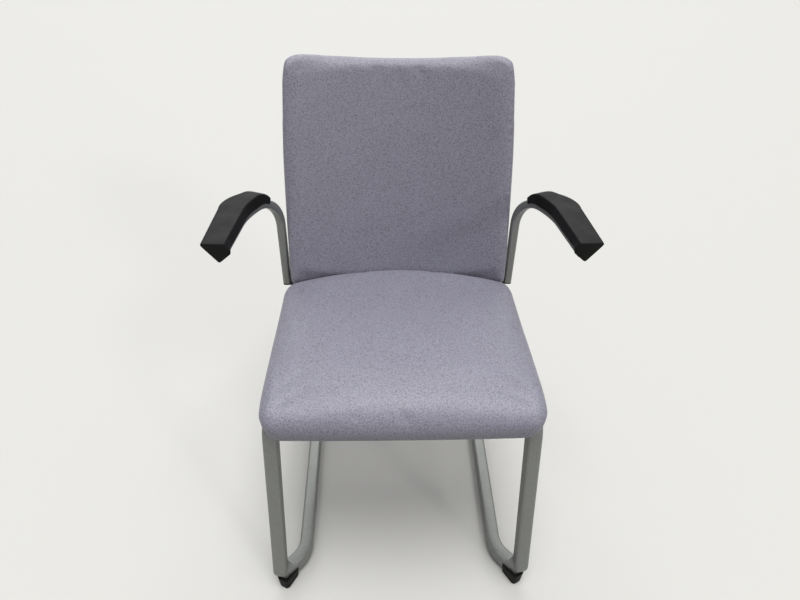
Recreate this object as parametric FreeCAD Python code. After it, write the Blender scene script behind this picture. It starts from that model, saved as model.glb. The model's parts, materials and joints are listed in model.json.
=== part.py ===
import FreeCAD, Part
import math
import os

# Cantilever conference chair with arms, in millimetres.
# +Z is up, the chair faces -Y, and the origin is on the floor under the middle of the chair.

Vec = FreeCAD.Vector
X_AXIS = Vec(1, 0, 0)
Z_AXIS = Vec(0, 0, 1)

# Frame tube
TUBE_WIDE = 25.0
TUBE_DEEP = 30.0
TUBE_WALL = 2.0
TUBE_CORNER = 7.0
BEND_STEP_DEG = 14.0
BEND_LEAST_STEPS = 4
LEAST_RUN = 0.01

# Floor frame, right hand side
REAR_GLIDE_HEIGHT = 9.0
FOOT_X = 234.0
FOOT_Y = -289.0
FOOT_BEND = 26.0
JOGGLE_X = 190.5
JOGGLE_Y = -241.0
JOGGLE_BEND = 60.0
RUNNER_FLARE_DEG = 1.0
RUNNER_END_Y = 110.0
REAR_BAR_Y = 215.0
REAR_BEND = 70.0
JOINER_LENGTH = 60.0
JOINER_CLEARANCE = 0.2

# Front legs and seat rails
LEG_LEAN_DEG = 8.9
LEG_TOP_X = 224.0
RAIL_Z = 398.0
RAIL_BEND = 45.0
RAIL_END_X = 212.0
RAIL_END_Y = 172.0
CROSS_TUBE_DIAMETER = 22.0
CROSS_TUBE_WALL = 1.5
FRONT_CROSS_Y = -120.0
REAR_CROSS_Y = 122.0
END_CAP_FLANGE = 3.0
END_CAP_PLUG = 9.0
PLUG_CLEARANCE = 0.2

# Feet
GLIDE_TURN_DEG = 30.0
GLIDE_WIDE = 22.0
GLIDE_LONG = 38.0
GLIDE_TOP = 27.0
GLIDE_TAPER = 2.0
GLIDE_FRONT_Y = -299.5
GLIDE_CENTRE_X = 221.0
GLIDE_CLEARANCE = 0.2
REAR_GLIDE_DIAMETER = 24.0
REAR_GLIDE_INSET = 16.0
GLIDE_SCREW_DIAMETER = 4.0
GLIDE_SCREW_HEAD = 8.0
GLIDE_SCREW_HEAD_HEIGHT = 2.5
GLIDE_SCREW_RECESS = 3.0
GLIDE_SCREW_GRIP = 6.0
GLIDE_SCREW_BACK = 11.0
SCREW_CLEARANCE = 0.2
HOLE_OVERRUN = 1.0

# Seat
SEAT_HALF_WIDTH = 234.0
SEAT_FRONT_Y = -274.0
SEAT_REAR_Y = 155.0
SEAT_CROWN_Z = 457.0
SEAT_CROWN_Y = -185.0
SEAT_REAR_Z = 446.0
SEAT_SIDE_FALL = 6.0
SEAT_SPACER_HEIGHT = 4.0
SEAT_SPACER_DIAMETER = 20.0
SEAT_EDGE_RADIUS = 24.0
SEAT_CORNER_RADIUS = 40.0
SEAT_REAR_CORNER_RADIUS = 18.0
SEAT_REAR_EDGE_RADIUS = 12.0
SEAT_LIP_DROP = 38.0
SEAT_LIP_THICK = 24.5
SEAT_LIP_RISE_SHARE = 1.6
SEAT_LIP_LEAST = 3.0
SEAT_LIP_BOW = 4.0
SEAT_TOP_BOW = 1.5
SEAT_BELLY_SHARE = 0.4
SEAT_REAR_ROUND_SHARE = 0.6
SEAT_PAN_THICK = 9.0
SEAT_PAN_MARGIN = 14.0
COVER_THICK = 1.2
FOAM_CLEARANCE = 0.3
SEAT_SCREW_X = 150.0
SEAT_SCREW_DIAMETER = 6.0
SEAT_SCREW_HEAD = 11.0
SEAT_SCREW_HEAD_HEIGHT = 3.5
TEE_NUT_DIAMETER = 8.0
TEE_NUT_FLANGE = 20.0
TEE_NUT_FLANGE_THICK = 1.5

# Back
BACK_HALF_WIDTH = 225.0
BACK_BOTTOM_Z = 428.0
BACK_TOP_Z = 858.0
BACK_BOTTOM_Y = 157.5
BACK_LEAN_DEG = 15.3
BACK_CURVE_RADIUS = 545.0
BACK_THICK = 36.0
BACK_LUMBAR = 5.0
BACK_TOP_DIP = 4.0
BACK_CORNER_RADIUS = 42.0
BACK_EDGE_RADIUS = 14.0
BACK_PINCH_SHARE = 0.35
BACK_TAPER = 9.0
BACK_TAPER_LENGTH = 190.0
BACK_SHELL_THICK = 8.0
BACK_SHELL_MARGIN = 12.0
SUPPORT_X = 120.0
SUPPORT_WIDE = 30.0
SUPPORT_THICK = 6.0
SUPPORT_BEND = 30.0
SUPPORT_CORNER = 2.5
SUPPORT_TOP_Z = 660.0
SUPPORT_SPACER_GAP = 5.0
BACK_SPACER_DIAMETER = 22.0
BACK_SCREW_LOW_Z = 520.0
BACK_SCREW_HIGH_Z = 630.0
BACK_SCREW_DIAMETER = 6.0
BACK_SCREW_HEAD = 12.0
BACK_SCREW_HEAD_HEIGHT = 3.5

# Arms, right hand side
ARM_WIDE = 17.5
ARM_DEEP = 16.0
ARM_WALL = 2.0
ARM_CORNER = 5.0
ARM_X = 238.5
ARM_Y = 152.0
ARM_FOOT_Z = 417.0
ARM_REAR_Z = 630.0
ARM_FRONT_Z = 645.0
ARM_RISE_BEND = 75.0
ARM_TURN_X = 287.0
ARM_TURN_Y = 50.0
ARM_TURN_BEND = 150.0
ARM_FRONT_X = 291.0
ARM_FRONT_Y = -106.0
ARM_PLUG_HEIGHT = 3.0
ARM_PLUG_DEPTH = 6.0
PAD_ABOVE_NOSE = 26.0
PAD_ABOVE_REAR = 29.0
PAD_INNER_TOP = 13.0
PAD_OUTER_NOSE = 28.5
PAD_OUTER_REAR = 37.0
PAD_INNER_LOW = 16.0
PAD_LOW_DROP = 17.0
PAD_KEEL_OUT = -1.0
PAD_KEEL_DROP = 34.0
PAD_NOSE = 19.0
PAD_CORNER = 4.5
PAD_TIP_DEG = 62.0
PAD_TIP_RISE = 6.0
PAD_TIP_OVERHANG = 1.5
PAD_RISE_FULLNESS = (0.0, 0.4, 0.72, 0.92)
PAD_TURN_FULLNESS = (0.98, 1.0)
PAD_CLEARANCE = 0.2
PAD_SCREW_DIAMETER = 4.0
PAD_SCREW_HEAD = 7.5
PAD_SCREW_HEAD_HEIGHT = 2.5
PAD_SCREW_GRIP = 7.0
PAD_SCREW_FRONT_Y = -80.0
PAD_SCREW_REAR_Y = 30.0
BRACKET_LONG = 30.0
BRACKET_TOP_Z = 449.0
BRACKET_CORNER = 6.0
BRACKET_CLEARANCE = 0.1
BOLT_DIAMETER = 6.0
BOLT_HEAD = 10.0
BOLT_HEAD_HEIGHT = 3.0
ARM_BOLT_LOW_Z = 427.5
ARM_BOLT_HIGH_Z = 440.5
BOLT_SPACING = 16.0
BOLT_GRIP = 7.0

# Values that follow from the sizes above
RUNNER_Z = REAR_GLIDE_HEIGHT + TUBE_DEEP / 2
RAIL_TOP_Z = RAIL_Z + TUBE_DEEP / 2
CROSS_Z = RAIL_TOP_Z - CROSS_TUBE_DIAMETER / 2
SEAT_UNDER_Z = RAIL_TOP_Z + SEAT_SPACER_HEIGHT
SEAT_LIP_Z = SEAT_UNDER_Z - SEAT_LIP_DROP
LEAN = math.radians(BACK_LEAN_DEG)
BACK_UP = Vec(0, math.sin(LEAN), math.cos(LEAN))
BACK_OUT = Vec(0, math.cos(LEAN), -math.sin(LEAN))
BACK_FOOT = Vec(0, BACK_BOTTOM_Y, BACK_BOTTOM_Z)
BACK_HEIGHT = (BACK_TOP_Z - BACK_BOTTOM_Z) / math.cos(LEAN)


# Small shape helpers

def unit(vector):
    """Copy of a vector with length one."""
    return Vec(vector) * (1.0 / vector.Length)


def square_to(direction, tangent):
    """Unit part of a direction at right angles to a tangent."""
    return unit(direction - tangent * direction.dot(tangent))


def arc(start, middle, end):
    """Circular edge through three points."""
    return Part.Arc(start, middle, end).toShape()


def rod(base, direction, length, diameter):
    """Round bar from a base point."""
    return Part.makeCylinder(diameter / 2, length, base, direction)


def mirrored(shape):
    """Left hand copy of a right hand shape."""
    return shape.mirror(Vec(0, 0, 0), X_AXIS)


def both_sides(shape):
    """A right hand shape and its left hand copy as one group."""
    return Part.makeCompound([shape, mirrored(shape)])


def largest(shape):
    """Biggest solid of a shape."""
    return max(shape.Solids, key=lambda solid: solid.Volume)


def rounded_section(centre, wide, deep, width, depth, radius):
    """Closed wire of a rounded rectangle in the plane of two directions."""
    half_w = width / 2
    half_d = depth / 2
    cut = radius * (1 - math.sqrt(0.5))
    edges = []
    turns = ((1, 0), (0, 1), (-1, 0), (0, -1))
    for a, b in turns:
        reach, side = (half_w, half_d) if a else (half_d, half_w)
        out = wide * a + deep * b
        along = wide * -b + deep * a
        first = centre + out * reach - along * (side - radius)
        second = centre + out * reach + along * (side - radius)
        corner = centre + out * (reach - cut) + along * (side - cut)
        third = centre + out * (reach - radius) + along * side
        edges.append(Part.LineSegment(first, second).toShape())
        edges.append(arc(second, corner, third))
    return Part.Wire(edges)


# Bent tubes

def bend_reach(points, radii, index):
    """Length of run that the bend at a knee takes up on each side."""
    run_in = points[index + 1] - points[index]
    run_out = points[index + 2] - points[index + 1]
    return radii[index] * math.tan(run_in.getAngle(run_out) / 2)


def bend_frame(points, radii, wides, index, share):
    """Place, tangent and width direction at a share of the way round one bend."""
    run_in = unit(points[index + 1] - points[index])
    run_out = unit(points[index + 2] - points[index + 1])
    inward = square_to(run_out, run_in)
    radius = radii[index]
    angle = run_in.getAngle(run_out) * share
    start = points[index + 1] - run_in * bend_reach(points, radii, index)
    place = start + run_in * (radius * math.sin(angle)) + inward * (radius * (1 - math.cos(angle)))
    tangent = run_in * math.cos(angle) + inward * math.sin(angle)
    wide_in = square_to(wides[index], run_in)
    wide_out = square_to(wides[index + 1], run_out)
    return place, tangent, square_to(wide_in * (1 - share) + wide_out * share, tangent)


def bent_bar(points, radii, wides, width, depth, corner):
    """Solid bar of rounded rectangular section along straight runs joined by bends.

    Each run has its own direction for the width of the section, and the section turns
    evenly from one to the next through each bend.
    """
    pieces = []
    start = points[0]
    for index in range(len(radii)):
        turn = (points[index + 1] - points[index]).getAngle(points[index + 2] - points[index + 1])
        steps = max(BEND_LEAST_STEPS, math.ceil(math.degrees(turn) / BEND_STEP_DEG))
        frames = [bend_frame(points, radii, wides, index, step / steps) for step in range(steps + 1)]
        sections = [rounded_section(place, wide, tangent.cross(wide), width, depth, corner)
                    for place, tangent, wide in frames]
        pieces.append(straight_bar(start, frames[0][0], wides[index], width, depth, corner))
        pieces.append(Part.makeLoft(sections, True, False))
        start = frames[-1][0]
    pieces.append(straight_bar(start, points[-1], wides[-1], width, depth, corner))
    pieces = [piece for piece in pieces if piece is not None]
    return pieces[0].fuse(pieces[1:]) if len(pieces) > 1 else pieces[0]


def straight_bar(start, end, wide, width, depth, corner):
    """Straight length of rounded rectangular bar, or nothing where it has no length."""
    run = end - start
    if run.Length < LEAST_RUN:
        return None
    tangent = unit(run)
    wide = square_to(wide, tangent)
    section = rounded_section(start, wide, tangent.cross(wide), width, depth, corner)
    return Part.Face(section).extrude(run)


def bent_tube(points, radii, wides, width, depth, corner, wall):
    """Hollow tube along straight runs joined by bends."""
    outside = bent_bar(points, radii, wides, width, depth, corner)
    inside = bent_bar(points, radii, wides, width - 2 * wall, depth - 2 * wall, corner - wall)
    return outside.cut(inside)


def frame_tube(points, radii, wides):
    """Length of the chair's frame tube."""
    return bent_tube(points, radii, wides, TUBE_WIDE, TUBE_DEEP, TUBE_CORNER, TUBE_WALL)


def across(run):
    """Level direction to the right of a level run."""
    return unit(run.cross(Z_AXIS))


# Centre line of the frame tube, right hand side
FOOT = Vec(FOOT_X, FOOT_Y, RUNNER_Z)
LEG_TOP = Vec(LEG_TOP_X, FOOT_Y + (RAIL_Z - RUNNER_Z) * math.tan(math.radians(LEG_LEAN_DEG)), RAIL_Z)
RAIL_END = Vec(RAIL_END_X, RAIL_END_Y, RAIL_Z)
JOGGLE = Vec(JOGGLE_X, JOGGLE_Y, RUNNER_Z)
FLARE = math.tan(math.radians(RUNNER_FLARE_DEG))
RUNNER_END = Vec(JOGGLE_X + FLARE * (RUNNER_END_Y - JOGGLE_Y), RUNNER_END_Y, RUNNER_Z)
REAR_CORNER = Vec(JOGGLE_X + FLARE * (REAR_BAR_Y - JOGGLE_Y), REAR_BAR_Y, RUNNER_Z)
LEG_RUN = unit(FOOT - LEG_TOP)
RAIL_RUN = unit(RAIL_END - LEG_TOP)
JOGGLE_RUN = unit(JOGGLE - FOOT)
RUNNER_RUN = unit(RUNNER_END - JOGGLE)
LEG_LOW = FOOT - LEG_RUN * bend_reach([LEG_TOP, FOOT, JOGGLE], [FOOT_BEND], 0)
LEG_HIGH = LEG_TOP + LEG_RUN * bend_reach([FOOT, LEG_TOP, RAIL_END], [RAIL_BEND], 0)
RUNNER_PATH = [LEG_LOW, FOOT, JOGGLE, RUNNER_END]
RUNNER_WIDES = [X_AXIS, across(JOGGLE_RUN), across(RUNNER_RUN)]


def foot_bar(grown):
    """Outside of the foot bend and runner, grown all round by a clearance."""
    return bent_bar(RUNNER_PATH, [FOOT_BEND, JOGGLE_BEND], RUNNER_WIDES,
                    TUBE_WIDE + 2 * grown, TUBE_DEEP + 2 * grown, TUBE_CORNER + grown)


def runner_tube():
    """Foot bend, joggle and runner of the right side."""
    return frame_tube(RUNNER_PATH, [FOOT_BEND, JOGGLE_BEND], RUNNER_WIDES)


def rear_bar_tube():
    """Tube that closes the floor frame behind the chair."""
    left_corner = Vec(-REAR_CORNER.x, REAR_CORNER.y, REAR_CORNER.z)
    left_end = Vec(-RUNNER_END.x, RUNNER_END.y, RUNNER_END.z)
    points = [RUNNER_END, REAR_CORNER, left_corner, left_end]
    wides = [across(b - a) for a, b in zip(points, points[1:])]
    return frame_tube(points, [REAR_BEND, REAR_BEND], wides)


def joiner():
    """Spigot inside the runner and the rear bar."""
    inside = 2 * (TUBE_WALL + JOINER_CLEARANCE)
    start = RUNNER_END - RUNNER_RUN * (JOINER_LENGTH / 2)
    end = RUNNER_END + RUNNER_RUN * (JOINER_LENGTH / 2)
    corner = TUBE_CORNER - TUBE_WALL - JOINER_CLEARANCE
    return straight_bar(start, end, across(RUNNER_RUN), TUBE_WIDE - inside, TUBE_DEEP - inside, corner)


def leg_tube():
    """Straight leg between the foot bend and the rail bend."""
    return frame_tube([LEG_HIGH, LEG_LOW], [], [X_AXIS])


def rail_tube():
    """Top bend and seat rail of the right side."""
    tube = frame_tube([LEG_HIGH, LEG_TOP, RAIL_END], [RAIL_BEND], [X_AXIS, across(RAIL_RUN)])
    for place in bracket_bolt_places():
        start = place - X_AXIS * TUBE_WIDE / 2
        tube = tube.cut(rod(start, X_AXIS, TUBE_WIDE, BOLT_DIAMETER + 2 * SCREW_CLEARANCE))
    return tube


def rail_x(y):
    """Centre of the right rail at a place along the chair."""
    return LEG_TOP.x + (RAIL_END.x - LEG_TOP.x) * (y - LEG_TOP.y) / (RAIL_END.y - LEG_TOP.y)


def rail_bar():
    """Right rail without its bore, used to trim what is welded to it."""
    return straight_bar(LEG_TOP, RAIL_END, across(RAIL_RUN), TUBE_WIDE, TUBE_DEEP, TUBE_CORNER)


def cross_bar(y, diameter):
    """Round bar from rail to rail on the line of a cross tube."""
    half = rail_x(y)
    return rod(Vec(-half, y, CROSS_Z), X_AXIS, 2 * half, diameter)


def cross_tube(y):
    """Round tube welded between the rails."""
    bore = cross_bar(y, CROSS_TUBE_DIAMETER - 2 * CROSS_TUBE_WALL)
    tube = cross_bar(y, CROSS_TUBE_DIAMETER).cut(bore).cut(both_sides(rail_bar()))
    for x in (SEAT_SCREW_X, -SEAT_SCREW_X):
        tube = tube.cut(seat_screw_hole(Vec(x, y, 0), SEAT_SCREW_DIAMETER + 2 * SCREW_CLEARANCE))
    return tube


def end_cap():
    """Plastic cap in the rear end of the right rail."""
    wide = across(RAIL_RUN)
    inside = 2 * (TUBE_WALL + PLUG_CLEARANCE)
    flange_end = RAIL_END + RAIL_RUN * END_CAP_FLANGE
    flange = straight_bar(RAIL_END, flange_end, wide, TUBE_WIDE, TUBE_DEEP, TUBE_CORNER)
    plug = straight_bar(RAIL_END - RAIL_RUN * END_CAP_PLUG, RAIL_END, wide, TUBE_WIDE - inside,
                        TUBE_DEEP - inside, TUBE_CORNER - TUBE_WALL - PLUG_CLEARANCE)
    return flange.fuse(plug)


# Feet

GLIDE_TURN = math.radians(GLIDE_TURN_DEG)
GLIDE_ALONG = Vec(-math.sin(GLIDE_TURN), math.cos(GLIDE_TURN), 0)
GLIDE_ACROSS = Vec(math.cos(GLIDE_TURN), math.sin(GLIDE_TURN), 0)
GLIDE_CENTRE = Vec(GLIDE_CENTRE_X, GLIDE_FRONT_Y + GLIDE_LONG / 2 * math.cos(GLIDE_TURN), 0)
FRONT_SCREW = GLIDE_CENTRE + GLIDE_ALONG * GLIDE_SCREW_BACK
REAR_SCREW = REAR_CORNER + Vec(-REAR_GLIDE_INSET, -REAR_GLIDE_INSET, 0)


def glide_screw(place):
    """Countersunk head below and shank up into the tube's lower wall."""
    head_base = Vec(place.x, place.y, GLIDE_SCREW_RECESS)
    head = rod(head_base, Z_AXIS, GLIDE_SCREW_HEAD_HEIGHT, GLIDE_SCREW_HEAD)
    tube_under = RUNNER_Z - TUBE_DEEP / 2
    length = tube_under + GLIDE_SCREW_GRIP - GLIDE_SCREW_RECESS
    return head.fuse(rod(head_base, Z_AXIS, length, GLIDE_SCREW_DIAMETER))


def glide_screw_hole(place):
    """Room for one foot screw, open below for its head."""
    floor = Vec(place.x, place.y, 0)
    grown = 2 * SCREW_CLEARANCE
    shank = rod(floor, Z_AXIS, RUNNER_Z, GLIDE_SCREW_DIAMETER + grown)
    recess = rod(floor, Z_AXIS, GLIDE_SCREW_RECESS + GLIDE_SCREW_HEAD_HEIGHT, GLIDE_SCREW_HEAD + grown)
    return shank.fuse(recess)


def front_glide():
    """Tall black foot that cradles the right foot bend."""
    sections = []
    for z, grown in ((0, 0), (GLIDE_TOP, GLIDE_TAPER)):
        centre = Vec(GLIDE_CENTRE.x, GLIDE_CENTRE.y, z)
        sections.append(rounded_section(centre, GLIDE_ACROSS, GLIDE_ALONG, GLIDE_WIDE + 2 * grown,
                                        GLIDE_LONG + 2 * grown, TUBE_CORNER))
    block = Part.makeLoft(sections, True, True)
    block = block.cut(foot_bar(GLIDE_CLEARANCE))
    room = 4 * GLIDE_LONG
    above = Part.makeBox(room, room, GLIDE_TOP, Vec(FRONT_SCREW.x - room / 2, FOOT_Y, RUNNER_Z))
    return largest(largest(block.cut(above)).cut(glide_screw_hole(FRONT_SCREW)))


def rear_glide():
    """Low black foot under the right rear corner."""
    base = Vec(REAR_SCREW.x, REAR_SCREW.y, 0)
    height = REAR_GLIDE_HEIGHT - GLIDE_CLEARANCE
    radius = REAR_GLIDE_DIAMETER / 2
    disc = Part.makeCone(radius - GLIDE_TAPER, radius, height, base, Z_AXIS)
    return disc.cut(glide_screw_hole(REAR_SCREW))


# Padded pieces, lofted through upright slices from side to side

LEVEL_STEPS = 4
CORNER_STEPS_DEG = (0, 20, 38, 54, 68, 79)


def round_off(depth, radius):
    """How far a rounded edge has drawn in at a depth from the side."""
    if depth >= radius:
        return 0.0
    return radius - math.sqrt(radius * radius - (radius - depth) ** 2)


def side_stations(half_width, corner_radius):
    """Places across a pad from left to right, closer together at the rounded corners."""
    level = half_width - corner_radius
    right = [level * step / LEVEL_STEPS for step in range(1, LEVEL_STEPS)]
    for degrees in CORNER_STEPS_DEG:
        right.append(level + corner_radius * math.sin(math.radians(degrees)))
    right[-1] = half_width
    return [-x for x in reversed(right)] + [0.0] + right


def side_depth(x, half_width, corner_radius):
    """Depth in from the nearer side, never less than the last corner station's."""
    least = corner_radius * (1 - math.sin(math.radians(CORNER_STEPS_DEG[-1])))
    return max(half_width - abs(x), least)


def seat_slice(x, inset):
    """Upright slice of the seat at x, drawn in all round by an inset."""
    half = SEAT_HALF_WIDTH - inset
    depth = side_depth(x, half, SEAT_CORNER_RADIUS)
    share = x / half
    corner = round_off(depth, SEAT_CORNER_RADIUS)
    top_fall = SEAT_SIDE_FALL * share * share + round_off(depth, SEAT_EDGE_RADIUS) + inset
    under = SEAT_UNDER_Z + inset
    crown = SEAT_CROWN_Z - top_fall
    rear_top = SEAT_REAR_Z - top_fall
    front = SEAT_FRONT_Y + corner + inset
    rear_corner = round_off(depth, SEAT_REAR_CORNER_RADIUS)
    rear = SEAT_REAR_Y - x * x / (2 * BACK_CURVE_RADIUS) - rear_corner - inset
    lip_rise = SEAT_LIP_BOW * share * share + SEAT_LIP_RISE_SHARE * corner
    lip_low = min(SEAT_LIP_Z + lip_rise, SEAT_UNDER_Z - SEAT_LIP_LEAST) + inset
    lip_back = front + SEAT_LIP_THICK - 2 * inset
    lip_mid = (front + lip_back) / 2
    belly = lip_low + SEAT_BELLY_SHARE * (crown - lip_low)
    heel = (lip_low + under) / 2
    rear_round = min(SEAT_REAR_EDGE_RADIUS, SEAT_REAR_ROUND_SHARE * (rear_top - under))
    diagonal = math.sqrt(0.5)

    def at(y, z):
        return Vec(x, y, z)

    def roll(degrees):
        angle = math.radians(degrees)
        forward = (front - SEAT_CROWN_Y) * math.sin(angle)
        return at(SEAT_CROWN_Y + forward, belly + (crown - belly) * math.cos(angle))

    def lip(degrees):
        angle = math.radians(degrees)
        return at(lip_mid + (front - lip_mid) * math.cos(angle), belly - (belly - lip_low) * math.sin(angle))

    rear_low = at(rear, under)
    rear_high = at(rear, rear_top - rear_round)
    rear_middle = at(rear - rear_round * (1 - diagonal), rear_top - rear_round * (1 - diagonal))
    rear_end = at(rear - rear_round, rear_top)
    top_middle = at((rear + SEAT_CROWN_Y) / 2, (crown + rear_top) / 2 + SEAT_TOP_BOW)
    heel_point = at(lip_back, heel)
    heel_middle = at(lip_mid + (lip_back - lip_mid) * diagonal, heel - (heel - lip_low) * diagonal)
    edges = [
        Part.LineSegment(rear_low, rear_high).toShape(),
        arc(rear_high, rear_middle, rear_end),
        arc(rear_end, top_middle, roll(0)),
        arc(roll(0), roll(22.5), roll(45)),
        arc(roll(45), roll(67.5), roll(90)),
        arc(lip(0), lip(45), lip(90)),
        arc(lip(90), heel_middle, heel_point),
        Part.LineSegment(heel_point, at(lip_back, under)).toShape(),
        Part.LineSegment(at(lip_back, under), rear_low).toShape(),
    ]
    return Part.Wire(edges)


def seat_body(inset):
    """Whole seat pad, drawn in all round by an inset."""
    half = SEAT_HALF_WIDTH - inset
    slices = [seat_slice(x, inset) for x in side_stations(half, SEAT_CORNER_RADIUS)]
    return Part.makeLoft(slices, True, True)


def back_point(x, up, out):
    """Point of the back at a height along its lean and a depth behind its front face line."""
    return Vec(x, 0, 0) + BACK_FOOT + BACK_UP * up + BACK_OUT * out


def back_bow(x):
    """How far the back's face comes forward at x, negative towards the sitter."""
    return -x * x / (2 * BACK_CURVE_RADIUS)


def back_slice(x, margin, front_inset, rear_inset):
    """Upright slice of the back, drawn in at its rim, its front and its rear."""
    half = BACK_HALF_WIDTH - margin
    depth = side_depth(x, half, BACK_CORNER_RADIUS)
    corner = round_off(depth, BACK_CORNER_RADIUS)
    level = half - BACK_CORNER_RADIUS
    dip = BACK_TOP_DIP * (1 - min(1.0, (x / level) ** 2))
    taper = BACK_TAPER_LENGTH * max(0.0, 1 - depth / BACK_TAPER)
    low = margin + corner
    high = BACK_HEIGHT - margin - dip - max(corner, taper)
    thick = BACK_THICK - front_inset - rear_inset
    pinch = min(round_off(depth, BACK_EDGE_RADIUS), BACK_PINCH_SHARE * thick)
    front = back_bow(x) + front_inset + pinch
    rear = back_bow(x) + BACK_THICK - rear_inset - pinch
    middle = (front + rear) / 2
    nose = (rear - front) / 2
    diagonal = math.sqrt(0.5)

    def at(up, out):
        return back_point(x, up, out)

    def rim(up, way, side):
        return at(up + way * nose * diagonal, middle + side * nose * diagonal)

    halfway = (low + high) / 2
    top_turn = high - nose
    low_turn = low + nose
    edges = [
        arc(at(low_turn, front), at(halfway, front - BACK_LUMBAR), at(top_turn, front)),
        arc(at(top_turn, front), rim(top_turn, 1, -1), at(high, middle)),
        arc(at(high, middle), rim(top_turn, 1, 1), at(top_turn, rear)),
        Part.LineSegment(at(top_turn, rear), at(low_turn, rear)).toShape(),
        arc(at(low_turn, rear), rim(low_turn, -1, 1), at(low, middle)),
        arc(at(low, middle), rim(low_turn, -1, -1), at(low_turn, front)),
    ]
    return Part.Wire(edges)


def back_body(margin, front_inset, rear_inset):
    """Back pad or one of its layers."""
    half = BACK_HALF_WIDTH - margin
    stations = side_stations(half, BACK_CORNER_RADIUS)
    slices = [back_slice(x, margin, front_inset, rear_inset) for x in stations]
    return Part.makeLoft(slices, True, True)


# Seat

def seat_pan():
    """Moulded ply pan, flat with a front edge turned down inside the lip."""
    inset = COVER_THICK
    inner = seat_body(inset)
    top = SEAT_UNDER_Z + inset + SEAT_PAN_THICK
    lip_back = SEAT_FRONT_Y + SEAT_LIP_THICK - inset
    front = lip_back - SEAT_PAN_THICK
    low = SEAT_LIP_Z + SEAT_PAN_MARGIN
    half = SEAT_HALF_WIDTH - SEAT_PAN_MARGIN
    deck = Part.makeBox(2 * half, SEAT_REAR_Y - SEAT_PAN_MARGIN - front, SEAT_PAN_THICK,
                        Vec(-half, front, SEAT_UNDER_Z + inset))
    lip_half = SEAT_HALF_WIDTH - SEAT_CORNER_RADIUS - TUBE_WIDE
    lip = Part.makeBox(2 * lip_half, SEAT_PAN_THICK, top - low, Vec(-lip_half, front, low))
    pan = deck.fuse(lip).common(inner)
    return largest(pan.removeSplitter())


def seat_screw_places():
    """Places of the screws through the cross tubes, front and rear on both sides."""
    return [Vec(x, y, 0) for x in (SEAT_SCREW_X, -SEAT_SCREW_X) for y in (FRONT_CROSS_Y, REAR_CROSS_Y)]


def seat_screw(place):
    """Screw up through the cross tube into the pan."""
    under = Vec(place.x, place.y, CROSS_Z - CROSS_TUBE_DIAMETER / 2)
    length = SEAT_UNDER_Z + COVER_THICK + SEAT_PAN_THICK - under.z
    head = rod(under, Z_AXIS * -1, SEAT_SCREW_HEAD_HEIGHT, SEAT_SCREW_HEAD)
    return head.fuse(rod(under, Z_AXIS, length, SEAT_SCREW_DIAMETER))


def seat_screw_hole(place, diameter):
    """Upright hole on one seat screw, from under the cross tube to above the pan."""
    base = Vec(place.x, place.y, CROSS_Z - CROSS_TUBE_DIAMETER)
    return rod(base, Z_AXIS, SEAT_CROWN_Z - base.z, diameter)


def seat_spacer(place):
    """Plastic saddle between cross tube and seat."""
    disc = rod(Vec(place.x, place.y, CROSS_Z), Z_AXIS, SEAT_UNDER_Z - CROSS_Z, SEAT_SPACER_DIAMETER)
    disc = disc.cut(cross_bar(place.y, CROSS_TUBE_DIAMETER))
    return largest(disc.cut(seat_screw_hole(place, SEAT_SCREW_DIAMETER + 2 * SCREW_CLEARANCE)))


def seat_tee_nut(place):
    """Threaded barrel in the pan with its flange on top."""
    pan_under = SEAT_UNDER_Z + COVER_THICK
    barrel = rod(Vec(place.x, place.y, pan_under), Z_AXIS, SEAT_PAN_THICK, TEE_NUT_DIAMETER)
    pan_top = Vec(place.x, place.y, pan_under + SEAT_PAN_THICK)
    flange = rod(pan_top, Z_AXIS, TEE_NUT_FLANGE_THICK, TEE_NUT_FLANGE)
    return barrel.fuse(flange).cut(seat_screw_hole(place, SEAT_SCREW_DIAMETER))


# Back supports

def support_rear_y(z):
    """Front face of the support bars at a height, just behind the back."""
    up = (z - BACK_BOTTOM_Z) / math.cos(LEAN)
    face = back_point(SUPPORT_X, up, back_bow(SUPPORT_X) + BACK_THICK + SUPPORT_SPACER_GAP)
    drop = z - face.z
    return face.y + drop * math.tan(LEAN)


SUPPORT_KNEE_Z = CROSS_Z
SUPPORT_MIDDLE = SUPPORT_THICK / 2 / math.cos(LEAN)


def support_bar():
    """Right support: back from the rear cross tube, then up behind the back."""
    start = Vec(SUPPORT_X, REAR_CROSS_Y, CROSS_Z)
    knee = Vec(SUPPORT_X, support_rear_y(SUPPORT_KNEE_Z) + SUPPORT_MIDDLE, SUPPORT_KNEE_Z)
    top = Vec(SUPPORT_X, support_rear_y(SUPPORT_TOP_Z) + SUPPORT_MIDDLE, SUPPORT_TOP_Z)
    bar = bent_bar([start, knee, top], [SUPPORT_BEND], [X_AXIS, X_AXIS], SUPPORT_WIDE, SUPPORT_THICK,
                   SUPPORT_CORNER)
    bar = largest(bar.cut(cross_bar(REAR_CROSS_Y, CROSS_TUBE_DIAMETER)))
    for place in back_screw_places():
        bar = bar.cut(back_screw_hole(place, BACK_SCREW_DIAMETER + 2 * SCREW_CLEARANCE))
    return bar


def back_screw_places():
    """Points on the bars' rear faces where the screws go in, both sides."""
    rear = SUPPORT_THICK / math.cos(LEAN)
    return [Vec(side * SUPPORT_X, support_rear_y(z) + rear, z)
            for side in (1, -1) for z in (BACK_SCREW_LOW_Z, BACK_SCREW_HIGH_Z)]


BACK_SCREW_WAY = BACK_OUT * -1


def shell_front_reach():
    """Distance from a bar's rear face to the front of the shell."""
    return SUPPORT_THICK + SUPPORT_SPACER_GAP + COVER_THICK + BACK_SHELL_THICK


def back_screw(place):
    """Screw through bar, spacer and cover into the shell."""
    head = rod(place, BACK_OUT, BACK_SCREW_HEAD_HEIGHT, BACK_SCREW_HEAD)
    return head.fuse(rod(place, BACK_SCREW_WAY, shell_front_reach(), BACK_SCREW_DIAMETER))


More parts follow.
